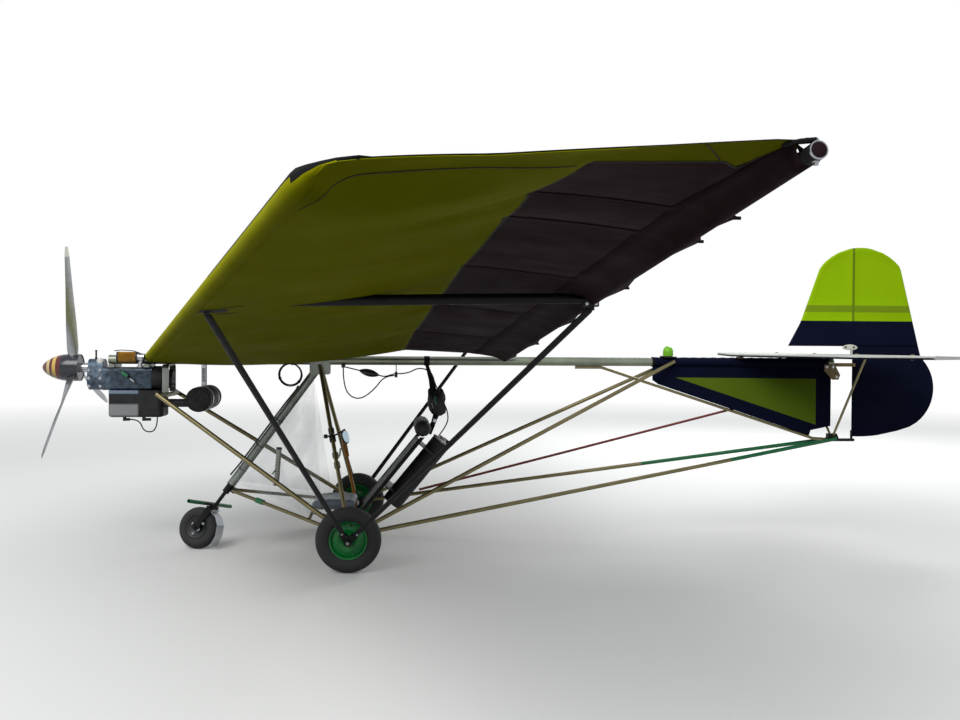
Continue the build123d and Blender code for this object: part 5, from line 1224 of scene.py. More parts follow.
@dataclass
class Tail:
    """Cloth and small fittings of the fin, rudder, stabiliser and elevator."""
    keel_z: float = 1.202
    keel_r: float = 0.0285
    rudder_x: float = 2.360
    rudder_foot: float = 0.703
    balance_z: float = 1.3135
    stab_z: float = 1.2495
    hinge_x: float = 2.236
    sleeve_x: tuple[float, float] = (0.985, 2.175)
    beacon_foot: tuple[float, float, float] = (1.088, 0.0, 1.2300)

    def rudder(self) -> None:
        """Rudder: navy below, lime above, over an outline tube, a post and a cross tube, with their shade
        painted on the lime.
        """
        crown = arc_points((2.128, 1.840), (2.415, 1.980), (2.690, 1.850), 20)
        heel = arc_points((2.843, 1.240), (2.915, 0.920), (2.700, 0.746), 20)
        toe = arc_points((2.700, 0.746), (2.574, 0.716), (2.440, 0.703), 6)

        upper = [(self.rudder_x, self.balance_z), (1.911, self.balance_z), (1.999, 1.478)]
        upper += crown + [(2.8235, self.balance_z)]
        CoveredPanel("rudder_upper_cloth", "rudder", ("rudder",), upper, upright, (RUDDER_CLOTH,),
                     frames=[[(self.rudder_x, self.balance_z), (self.rudder_x, 1.965)],
                             [(1.97, 1.566), (2.77, 1.566)]]).build()
        lower = [(self.rudder_x, self.rudder_foot), (self.rudder_x, self.balance_z),
                 (2.8235, self.balance_z)] + heel + toe[1:]
        CoveredPanel("rudder_lower_cloth", "rudder", ("rudder",), lower, upright, (RUDDER_CLOTH,),
                     frames=[[(self.rudder_x, 1.0), (2.90, 1.0)]]).build()

    def fin(self) -> None:
        """Ventral fin: navy cloth with a lime panel, whose lime is darkened as painted shade."""
        top = self.keel_z - self.keel_r - 0.0003
        outline = [(0.983, top), (2.212, top), (2.212, 0.758), (2.078, 0.758), (2.062, 0.7105),
                   (0.983, 1.0665)]
        CoveredPanel("fin_cloth", "airframe", ("ventral_fin",), outline, upright, (FIN_CLOTH,)).build()

    def keel_sleeve(self) -> None:
        """Navy sleeve round the keel over the fin, with a tape at each end."""
        sleeve = Shape("keel_sleeve", NAVY_CLOTH, BLACK_TAPE)
        rows = []
        for step, x in enumerate(evenly(*self.sleeve_x, 60)):
            reach = self.keel_r + 0.0022 + 0.0012 * math.sin(step * 1.9)
            rows.append([Vector((x, reach * math.sin(turn), self.keel_z - reach * math.cos(turn)))
                         for turn in turns(28)])
        sleeve.sheet(rows, 0, closed=True)
        for x in self.sleeve_x:
            sleeve.collar((x, 0, self.keel_z), (1, 0, 0), 0.008, self.keel_r + 0.0012,
                          self.keel_r + 0.0046, 28, 1)
        piece = sleeve.finish("airframe", "tail_cloth")

    def stabiliser(self) -> None:
        """Stabiliser: pale above and navy below."""
        rear = self.hinge_x - 0.017
        half = 1.25

        def where(u: float, v: float, out: float) -> Vector:
            """Point of the stabiliser at Y, X and a height."""
            return Vector((v, u, self.stab_z + out))

        outline = [(half, rear), (-half, rear), (-half, 1.90), (-half + 0.09, 1.815), (0.0, 1.519),
                   (half - 0.09, 1.815), (half, 1.90)]
        ribs = [[(y, 1.55 + 0.25 * abs(y)), (y, rear)] for y in (-1.0, -0.62, -0.3, 0.3, 0.62, 1.0)]
        CoveredPanel("stabiliser_cloth", "airframe", ("stabiliser",), outline, where,
                     (PALE_CLOTH, NAVY_CLOTH), ribs).build()

    def beacon(self) -> None:
        """Lime beacon on its black foot, with three moulded rings."""
        shape = Shape("beacon_lamp", LIME_PLASTIC, BLACK_PLASTIC)
        shape.lathe(((0.0, 0.050), (0.003, 0.055), (0.009, 0.056), (0.012, 0.050), (0.012, 0.036)),
                    self.beacon_foot, (0, 0, 1), 48, 1)
        shape.lathe(((0.010, 0.0335), (0.014, 0.0345), (0.045, 0.0335), (0.060, 0.0290),
                     (0.070, 0.0210), (0.076, 0.0110), (0.078, 0.0020)), self.beacon_foot, (0, 0, 1), 48)
        for z in (0.022, 0.031, 0.040):
            shape.lathe(((-0.0012, 0.0343), (0.0, 0.0352), (0.0012, 0.0343)),
                        Vector(self.beacon_foot) + Vector((0, 0, z)), (0, 0, 1), 48, caps=False)
        shape.finish("airframe", "beacon_lime", ("beacon",))

    def horn_plate(self) -> None:
        """Pale oval plate of the elevator's horn, with two rivets."""
        shape = Shape("horn_plate", WHITE_PAINT, BLACK_PLASTIC)
        middle = Vector((2.297, -0.096, 1.3065))
        outline = [(0.052 * math.cos(turn) * (1 - 0.12 * math.sin(turn)), 0.019 * math.sin(turn))
                   for turn in turns(40)]
        rings = ((-0.0020, 0.02), (-0.0020, 0.93), (-0.0015, 0.97), (-0.0010, 1.0), (0.0010, 1.0),
                 (0.0020, 0.93), (0.0020, 0.02))
        shape.sheet([[middle + Vector((x * scale, y, z * scale)) for x, z in outline]
                     for y, scale in rings], 0, closed=True)
        for x in (-0.030, 0.026):
            shape.lathe(((0.0, 0.0055), (0.0012, 0.0070), (0.0024, 0.0050)),
                        middle + Vector((x, -0.0018, 0.001)), (0, -1, 0), 20, 1)
        shape.finish("elevator", "tail_cloth")

    def fin_bracket(self) -> None:
        """Tan plate at the fin's upper rear corner, with three bolts."""
        shape = Shape("fin_bracket", TAN_PAINT, STEEL)
        middle_y, half = -0.0315, 0.0015
        corners = ((2.150, 1.188), (2.226, 1.188), (2.262, 1.120), (2.250, 1.088), (2.206, 1.088),
                   (2.150, 1.150))
        shape.skin([[Vector((x, y, z)) for x, z in corners] for y in (middle_y - half, middle_y + half)])
        for x, z in ((2.168, 1.174), (2.212, 1.174), (2.236, 1.108)):
            shape.bolt((x, middle_y - half, z), (0, -1, 0), 0.013, 0.007, 1)
        shape.finish("airframe", "bracket_tan")

    def build(self) -> None:
        """Build the tail's cloth and fittings."""
        self.rudder()
        self.fin()
        self.keel_sleeve()
        self.stabiliser()
        self.beacon()
        self.horn_plate()
        self.fin_bracket()


# Studio

@dataclass
class Studio:
    """Pale floor, soft lamps, a white backdrop and the photograph's camera."""
    eye: tuple[float, float, float] = (-0.732, -6.382, 1.3051)
    yaw: float = 0.0884
    pitch: float = 0.015
    roll: float = 0.006
    focal_px: float = 980.44
    width_px: int = 960
    sensor_mm: float = 36.0

    def camera(self) -> None:
        """Put the camera where the photograph was taken."""
        ahead = Vector((math.sin(self.yaw) * math.cos(self.pitch),
                        math.cos(self.yaw) * math.cos(self.pitch), -math.sin(self.pitch)))
        right = Vector((math.cos(self.yaw), -math.sin(self.yaw), 0.0))
        over = right.cross(ahead)
        level = right * math.cos(self.roll) + over * math.sin(self.roll)
        up = over * math.cos(self.roll) - right * math.sin(self.roll)
        lens = bpy.data.cameras.new("camera")
        lens.sensor_width = self.sensor_mm
        lens.lens = self.focal_px * self.sensor_mm / self.width_px
        lens.clip_end = 200.0
        body = bpy.data.objects.new("camera", lens)
        turn = Matrix((level, up, -ahead)).transposed().to_4x4()
        body.matrix_world = Matrix.Translation(self.eye) @ turn
        bpy.context.scene.collection.objects.link(body)
        bpy.context.scene.camera = body

    def floor(self) -> None:
        """A pale floor that turns white far from the aircraft, where the backdrop begins.

        It sends back as little light as the grass in the photograph, so that shaded cloth stays deep.
        """
        paint = bpy.data.materials.new("floor_pale")
        paint.use_nodes = True
        tree = paint.node_tree
        tree.nodes.clear()
        where = add_node(tree, "ShaderNodeTexCoord").outputs["Object"]
        away = add_node(tree, "ShaderNodeVectorMath", {0: where}, operation="LENGTH").outputs["Value"]
        far = span(tree, away, 0.0, 1.0, 7.0, 17.0)
        path = add_node(tree, "ShaderNodeLightPath")
        seen = path.outputs["Is Camera Ray"]
        for kind in ("Is Glossy Ray", "Is Transmission Ray"):
            seen = add_node(tree, "ShaderNodeMath", {0: seen, 1: path.outputs[kind]},
                            operation="MAXIMUM").outputs[0]
        share = add_node(tree, "ShaderNodeMath", {0: seen, 1: far}, operation="MULTIPLY").outputs[0]
        shade = mixed(tree, seen, linear("#4E5048"), linear("#E6E6E3"))
        matt = add_node(tree, "ShaderNodeBsdfDiffuse", {"Color": shade})
        white = add_node(tree, "ShaderNodeEmission", {"Color": (1, 1, 1, 1), "Strength": 1.0})
        both = add_node(tree, "ShaderNodeMixShader", {0: share, 1: matt.outputs[0],
                                                      2: white.outputs[0]})
        add_node(tree, "ShaderNodeOutputMaterial", {"Surface": both.outputs[0]})
        data = bpy.data.meshes.new("floor")
        size = 60.0
        data.from_pydata([(-size, -size, 0), (size, -size, 0), (size, size, 0), (-size, size, 0)],
                         [], [(0, 1, 2, 3)])
        data.materials.append(paint)
        plane = bpy.data.objects.new("floor", data)
        bpy.context.scene.collection.objects.link(plane)

    def sky(self) -> None:
        """Even pale light all round, seen as white."""
        world = bpy.data.worlds.new("studio")
        bpy.context.scene.world = world
        world.use_nodes = True
        tree = world.node_tree
        tree.nodes.clear()
        path = add_node(tree, "ShaderNodeLightPath")
        seen = add_node(tree, "ShaderNodeMath", {0: path.outputs["Is Camera Ray"],
                                                 1: path.outputs["Is Transmission Ray"]},
                        operation="MAXIMUM").outputs[0]
        soft = add_node(tree, "ShaderNodeBackground", {"Color": linear("#F2F5FA"), "Strength": 0.75})
        white = add_node(tree, "ShaderNodeBackground", {"Color": (1, 1, 1, 1), "Strength": 1.0})
        both = add_node(tree, "ShaderNodeMixShader", {0: seen, 1: soft.outputs[0],
                                                      2: white.outputs[0]})
        add_node(tree, "ShaderNodeOutputWorld", {"Surface": both.outputs[0]})

    def lamp(self, name: str, place: Point, aim: Point, size: float, watts: float) -> None:
        """Add one square soft lamp.

        Args:
            name: name of the lamp.
            place: where it stands.
            aim: point that it faces.
            size: length of its side.
            watts: its power.
        """
        light = bpy.data.lights.new(name, "AREA")
        light.size = size
        light.energy = watts
        lamp = bpy.data.objects.new(name, light)
        facing = (Vector(aim) - Vector(place)).to_track_quat("-Z", "Y")
        lamp.matrix_world = Matrix.Translation(place) @ facing.to_matrix().to_4x4()
        bpy.context.scene.collection.objects.link(lamp)

    def build(self) -> None:
        """Set up the view and the light."""
        self.camera()
        self.floor()
        self.sky()
        self.lamp("key", (-4.5, -7.0, 7.5), (0.0, 0.0, 0.8), 5.0, 520.0)
        self.lamp("back", (5.0, 7.0, 6.0), (0.0, 0.0, 1.0), 4.0, 420.0)
        bpy.context.scene.view_settings.view_transform = "Standard"


# Cords

@dataclass(frozen=True)
class Lead:
    """A free hose or lead. Its route repeats the CAD's points, in millimetres."""
    name: str
    route: tuple[Point, ...]
    length: float
    stiffness: str = "medium"
    diameter: float = 0.008

    def build(self) -> None:
        """Make the lead as one smooth curve that stands for its CAD tube."""
        data = bpy.data.curves.new(f"{self.name}_run", "CURVE")
        data.dimensions = "3D"
        data.bevel_depth = self.diameter / 2
        data.bevel_resolution = 4
        data.resolution_u = 20
        data.use_fill_caps = True
        line = data.splines.new("NURBS")
        line.points.add(len(self.route) - 1)
        for point, place in zip(line.points, self.route):
            point.co = (*(value / 1000 for value in place), 1.0)
        line.order_u = 3
        line.use_endpoint_u = True
        data.materials.append(HOSE.material())
        piece = bpy.data.objects.new(f"{self.name}_run", data)
        bpy.context.scene.collection.objects.link(piece)
        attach(piece, "airframe")
        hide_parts(self.name)
        tuple(value / 1000 for value in self.route[0])
        LOG.info("built cord %s, %.3f m", self.name, self.length)


LEADS = (
    Lead("loop_hose", ((-1051, -22, 1155.7), (-1051, -22, 1066), (-1018, -24, 976), (-940, -26, 950),
                       (-852, -26, 1016), (-785, -22, 1106), (-721.3, -22, 1106)), 0.537),
    Lead("fuel_hose", ((-702.7, -12, 1118), (-640, -16, 1118), (-568, -24, 1160), (-484, -30, 1136),
                       (-458, -34, 1046), (-416, -36, 956), (-376, -28, 874), (-374.7, -20, 789.0),
                       (-441.1, -20, 707.6)), 0.692),
    Lead("ignition_lead", ((-2391.7, 0, 822), (-2333.7, 0, 822), (-2299.7, -24, 742),
                           (-2216, -30, 750), (-2216, -30, 841.7)), 0.293, "limp"),
)


# Engine

@dataclass
class Engine:
    """Fittings of the engine that show on its port side and from behind."""
    filter_axis: tuple[float, float, float] = (-2.452, -0.068, 1.218)
    shaft_z: float = 1.082
    drum_x: float = -1.932
    drum_z: float = 0.958

    def carburettor(self) -> None:
        """Pleated oiled filter with end caps, and the carburettor's body with its bowl and clamps."""
        shape = Shape("carburettor_filter", FILTER_CLOTH, BLACK_PLASTIC, STEEL)
        front = Vector(self.filter_axis)
        pleats, rows = 44, []
        for x in (0.006, 0.009, 0.040, 0.070, 0.098, 0.118, 0.121):
            row = []
            for step in range(pleats * 2):
                turn = math.pi * step / pleats
                radius = 0.0335 if step % 2 == 0 else 0.0295
                row.append(front + Vector((x, radius * math.cos(turn), radius * math.sin(turn))))
            rows.append(row)
        shape.sheet(rows, 0, closed=True)
        for x in (0.0, 0.117):
            shape.lathe(((x, 0.024), (x, 0.034), (x + 0.010, 0.034), (x + 0.010, 0.026)), front,
                        (1, 0, 0), 40, 1)
        shape.lathe(((0.127, 0.0), (0.127, 0.027), (0.134, 0.027), (0.134, 0.022), (0.167, 0.022),
                     (0.167, 0.0)), front, (1, 0, 0), 36, 2, caps=False)
        for x in (0.130, 0.150):
            shape.lathe(((x, 0.022), (x, 0.0245), (x + 0.007, 0.0245), (x + 0.007, 0.022)), front,
                        (1, 0, 0), 36, 2, caps=False)
        elbow = [Vector((-2.315, -0.058, 1.1543)), Vector((-2.315, -0.058, 1.180)),
                 Vector((-2.313, -0.060, 1.203))]
        shape.tube(elbow, 0.0148, 20, 2)
        shape.lathe(((0.0, 0.015), (0.0, 0.020), (0.008, 0.020), (0.008, 0.015)), elbow[0], (0, 0, 1),
                    28, 2, caps=False)
        shape.lathe(((0.0, 0.010), (0.004, 0.013), (0.022, 0.013), (0.026, 0.009)),
                    (-2.298, -0.090, 1.206), (0, -1, 0), 20, 2)
        shape.finish("airframe", "engine_black", ("carburettor",), 30.0)

    def gearbox_fittings(self) -> None:
        """White overflow bottle behind the gearbox, breather post and the joint's bolts."""
        shape = Shape("gearbox_fittings", CAP_PLASTIC, BLACK_PLASTIC, STEEL)
        shape.lathe(((0.0, 0.021), (0.006, 0.0245), (0.040, 0.0245), (0.052, 0.018), (0.056, 0.009)),
                    (-2.566, -0.025, 1.1545), (0, 0, 1), 28, 0)
        shape.lathe(((0.0, 0.008), (0.008, 0.008), (0.010, 0.0055), (0.046, 0.0055), (0.050, 0.007),
                     (0.056, 0.007)), (-2.600, 0.0, 1.2055), (0, 0, 1), 18, 1)
        for z in (1.035, 1.085, 1.135):
            for x in (-2.556, -2.624):
                shape.bolt((x, -0.070, z), (0, -1, 0), 0.013, 0.007, 2)
        shape.finish("airframe", "engine_cast")

    def recoil(self) -> None:
        """Cream cover plate of the recoil starter with its bolts and pull grip."""
        shape = Shape("recoil_cover", CREAM_PAINT, BLACK_PLASTIC, STEEL)
        low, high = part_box("fan_and_starter")
        face = Vector((high[0], 0.0, self.shaft_z))
        shape.lathe(((-0.004, 0.074), (0.002, 0.074), (0.005, 0.070), (0.006, 0.036), (0.004, 0.034)),
                    face - Vector((0.046, 0, 0)), (1, 0, 0), 48, 0, caps=False)
        for turn in turns(8):
            spot = face + Vector((-0.040, 0.056 * math.cos(turn), 0.056 * math.sin(turn)))
            shape.bolt(spot, (1, 0, 0), 0.009, 0.005, 2)
        shape.tube([face + Vector((-0.004, -0.020, -0.030)), face + Vector((0.010, -0.026, -0.036)),
                    face + Vector((0.016, -0.030, -0.040))], 0.004, 10, 1)
        shape.finish("airframe", "engine_black")

    def drum(self) -> None:
        """Bright straps round the exhaust drum, its end beads and the hanger springs."""
        shape = Shape("silencer_straps", STEEL, DRUM_BLACK)
        for y in (-0.092, 0.092):
            shape.lathe(((-0.007, 0.0752), (-0.007, 0.0778), (-0.004, 0.0792), (0.004, 0.0792),
                         (0.007, 0.0778), (0.007, 0.0752)), (self.drum_x, y, self.drum_z), (0, 1, 0), 56, 0,
                        caps=False)
        for y, way in ((-0.184, -1), (0.184, 1)):
            shape.lathe(((0.0, 0.0755), (0.0, 0.0775), (0.003, 0.0775), (0.003, 0.070)),
                        (self.drum_x, y - 0.002 * way, self.drum_z), (0, way, 0), 56, 1, caps=False)
        shape.finish("airframe", "bright_steel")
        springs = Shape("hanger_springs", STEEL)
        for y in (-0.020, 0.020):
            path = []
            laps, steps = 13, 12
            for step in range(laps * steps + 1):
                turn = 2 * math.pi * step / steps
                path.append(Vector((self.drum_x + 0.0105 * math.cos(turn), y + 0.0105 * math.sin(turn),
                                    1.060 + 0.090 * step / (laps * steps))))
            springs.tube(path, 0.0022, 6)
        springs.finish("airframe", "bright_steel")

    def wiring(self) -> None:
        """Thin wires along the case, with a green connector and a steel clip."""
        shape = Shape("engine_wiring", BLACK_PLASTIC, GREEN_PLASTIC, STEEL)
        runs = (
            ((-2.470, -0.070, 1.258), (-2.420, -0.080, 1.262), (-2.350, -0.082, 1.258),
             (-2.280, -0.070, 1.230), (-2.262, -0.050, 1.180), (-2.258, -0.060, 1.140)),
            ((-2.500, -0.060, 1.170), (-2.440, -0.092, 1.150), (-2.400, -0.094, 1.110),
             (-2.360, -0.093, 1.080), (-2.330, -0.092, 1.050), (-2.290, -0.090, 1.030)),
            ((-2.540, -0.075, 1.160), (-2.470, -0.090, 1.145), (-2.400, -0.092, 1.140),
             (-2.300, -0.092, 1.146), (-2.262, -0.086, 1.140)),
        )
        for run in runs:
            shape.tube(run, 0.0028, 8, 0)
        tilt = Matrix.Rotation(math.radians(38), 3, "Y")
        shape.block((-2.400, -0.096, 1.112), (0.050, 0.012, 0.022), 1, tilt, 0.003)
        shape.block((-2.355, -0.094, 1.074), (0.034, 0.008, 0.012), 2, tilt, 0.002)
        shape.finish("airframe", "hose_black")

    def spinner(self) -> None:
        """Round-nosed painted spinner with a rolled rear edge."""
        low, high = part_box("spinner")
        full = (high[2] - low[2]) / 2
        reach = high[0] - low[0]
        shape = Shape("spinner_shell", SPINNER_PAINT)
        profile = [(0.0, 0.001)]
        for step in range(1, 29):
            share = step / 28
            profile.append((reach * share, full * (1 - (1 - min(share / 0.72, 1.0)) ** 1.9) ** 0.62))
        profile += [(reach, full - 0.003), (reach - 0.004, full - 0.004)]
        shape.lathe(profile, (low[0], (low[1] + high[1]) / 2, (low[2] + high[2]) / 2), (1, 0, 0), 64)
        shape.finish("propeller", "spinner_paint", ("spinner",), 50.0)

    def build(self) -> None:
        """Build all of the engine's fittings."""
        self.spinner()
        self.carburettor()
        self.gearbox_fittings()
        self.recoil()
        self.drum()
        self.wiring()


# Undercarriage

@dataclass
class Gear:
    """Struts, wheel hubs and the small parts of the nose gear."""
    foot: tuple[float, float, float] = (-0.982, 0.817, 0.1883)
    heads: tuple[tuple[float, float, float], ...] = ((-1.470, 2.406, 1.4229), (0.0806, 2.406, 1.462))
    half_chord: float = 0.0155
    half_thick: float = 0.0105

    def struts(self) -> None:
        """Streamlined lift struts, each with a bolt by its foot."""
        shape = Shape("lift_struts_slim", STRUT_BLACK, STEEL)
        for side in Side:
            for head in self.heads:
                low = Vector((self.foot[0], self.foot[1] * side.value, self.foot[2]))
                high = Vector((head[0], head[1] * side.value, head[2]))
                along = (high - low).normalized()
                wide = (Vector((1, 0, 0)) - along * along.x).normalized()
                thin = along.cross(wide)
                rows = []
                reach = (high - low).length
                for place, scale in ((0.050, 0.9), (0.055, 1.0), (reach * 0.25, 1.0),
                                     (reach * 0.5, 1.0), (reach * 0.75, 1.0), (reach - 0.02, 1.0),
                                     (reach - 0.012, 0.8)):
                    rows.append([low + along * place
                                 + wide * self.half_chord * scale * math.cos(turn)
                                 + thin * self.half_thick * scale * math.sin(turn)
                                 for turn in turns(20)])
                shape.skin(rows)
                out = thin * (1 if thin.y * side.value > 0 else -1)
                shape.bolt(low + along * 0.12 + out * self.half_thick * 0.98, out, 0.011, 0.006, 1)
        shape.finish("airframe", "fitting_black", ("lift_struts",))

    def shoes(self) -> None:
        """Flat plates under the spars, each with the tongue that its strut is bolted to."""
        shape = Shape("strut_shoe_plates", STRUT_BLACK, STEEL)
        for side in Side:
            y = self.heads[0][1] * side.value
            for x, z, long, (head_x, _, head_z) in ((-1.446, 1.449, 0.092, self.heads[0]),
                                                    (0.076, 1.478, 0.064, self.heads[1])):
                shape.block((x, y, z), (long, 0.034, 0.024), 0, None, 0.003)
                shape.block((head_x, y, (head_z + z) / 2 - 0.004), (0.020, 0.014, z - head_z + 0.014), 0,
                            None, 0.002)
                for shift in (-0.3, 0.3):
                    shape.bolt((x + shift * long, y + 0.017 * side.value, z), (0, side.value, 0), 0.010,
                               0.005, 1)
        shape.finish("airframe", "fitting_black", ("strut_shoes",))

    def spreaders(self) -> None:
        """Spreader bars between the spars, in black streamlined sleeves where they are in the open air."""
        shape = Shape("spreader_bars_sleeved", SPAR_DARK)
        front, rear = Vector((-1.4785, 2.406, 1.4639)), Vector((0.0640, 2.406, 1.4955))
        for side in Side:
            rows = []
            for share, half, lift in ((0.0, 0.0160, 0.0), (0.14, 0.0160, 0.0), (0.19, 0.0162, 0.0),
                                      (0.215, 0.0180, 0.003), (0.25, 0.0205, 0.006), (0.32, 0.0220, 0.007),
                                      (0.60, 0.0220, 0.007), (0.92, 0.0220, 0.006), (0.96, 0.0200, 0.004),
                                      (0.975, 0.0160, 0.0), (1.0, 0.0160, 0.0)):
                middle = front.lerp(rear, share)
                rows.append([Vector((middle.x, (middle.y + 0.0165 * math.cos(turn)) * side.value,
                                     middle.z + lift + half * math.sin(turn)))
                             for turn in turns(32)])
            shape.skin(rows)
        shape.finish("airframe", "fitting_black", ("spreader_bars",), 50.0)

    def hubs(self) -> None:
        """Steel hub and the valve on the outer face of each main wheel."""
        for side in Side:
            name = f"wheel_{side.word}"
            low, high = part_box(f"wheel_rim_{side.word}")
            face_y = high[1] if side is Side.STARBOARD else low[1]
            shape = Shape(f"hub_details_{side.word}", STEEL, STRUT_BLACK)
            out = (0, side.value, 0)
            middle = Vector((self.foot[0], face_y - 0.012 * side.value, self.foot[2]))
            shape.lathe(((0.0, 0.024), (0.004, 0.0255), (0.008, 0.0255), (0.010, 0.022), (0.012, 0.0175)),
                        middle, out, 32, 0, caps=False)
            stem = middle + Vector((0.018, 0, 0.086))
            shape.lathe(((-0.006, 0.0042), (0.010, 0.0042), (0.012, 0.003), (0.016, 0.003)), stem, out,
                        12, 1)
            shape.finish(name, "bright_steel")

    def nose(self) -> None:
        """Bolts and hub caps of the nose rim."""
        shape = Shape("nose_rim_bolts", STEEL)
        low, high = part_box("nose_rim")
        middle = Vector(((low[0] + high[0]) / 2, 0.0, (low[2] + high[2]) / 2))
        for way in (-1, 1):
            for step in range(4):
                turn = 2 * math.pi * (step + 0.5) / 4
                spot = middle + Vector((0.044 * math.cos(turn), 0.030 * way, 0.044 * math.sin(turn)))
                shape.bolt(spot, (0, way, 0), 0.012, 0.007)
            shape.lathe(((0.0, 0.015), (0.004, 0.016), (0.010, 0.013)),
                        middle + Vector((0, 0.034 * way, 0)), (0, way, 0), 24)
        shape.finish("nose_wheel", "wheel_grey")

    def build(self) -> None:
        """Build the undercarriage's details."""
        self.struts()
        self.shoes()
        self.spreaders()
        self.hubs()
        self.nose()


# Cockpit

def puffed(piece: bpy.types.Object, cap: float, pressure: float = 4.0, last: int = 20) -> None:
    """Let cloth simulation swell a closed soft form, and keep the result in its mesh.

    Args:
        piece: closed mesh object.
        cap: furthest that a point may move.
        pressure: air pressure inside.
        last: last frame that is stepped.
    """
    scene = bpy.context.scene
    cloth = piece.modifiers.new("swell", "CLOTH")
    cloth.settings.quality = 4
    cloth.settings.mass = 0.3
    cloth.settings.tension_stiffness = 15
    cloth.settings.compression_stiffness = 15
    cloth.settings.bending_stiffness = 0.5
    cloth.settings.use_pressure = True
    cloth.settings.uniform_pressure_force = pressure
    cloth.settings.effector_weights.gravity = 0.0
    cloth.point_cache.frame_start = 1
    cloth.point_cache.frame_end = last
    for frame in range(1, last + 1):
        scene.frame_set(frame)
    swollen = piece.evaluated_get(bpy.context.evaluated_depsgraph_get()).data
    places = [vert.co.copy() for vert in swollen.vertices]
    piece.modifiers.remove(cloth)
    for vert, place in zip(piece.data.vertices, places):
        shift = place - vert.co
        if shift.length > cap:
            shift *= cap / shift.length
        vert.co += shift
    scene.frame_set(1)
    LOG.info("swelled %s", piece.name)


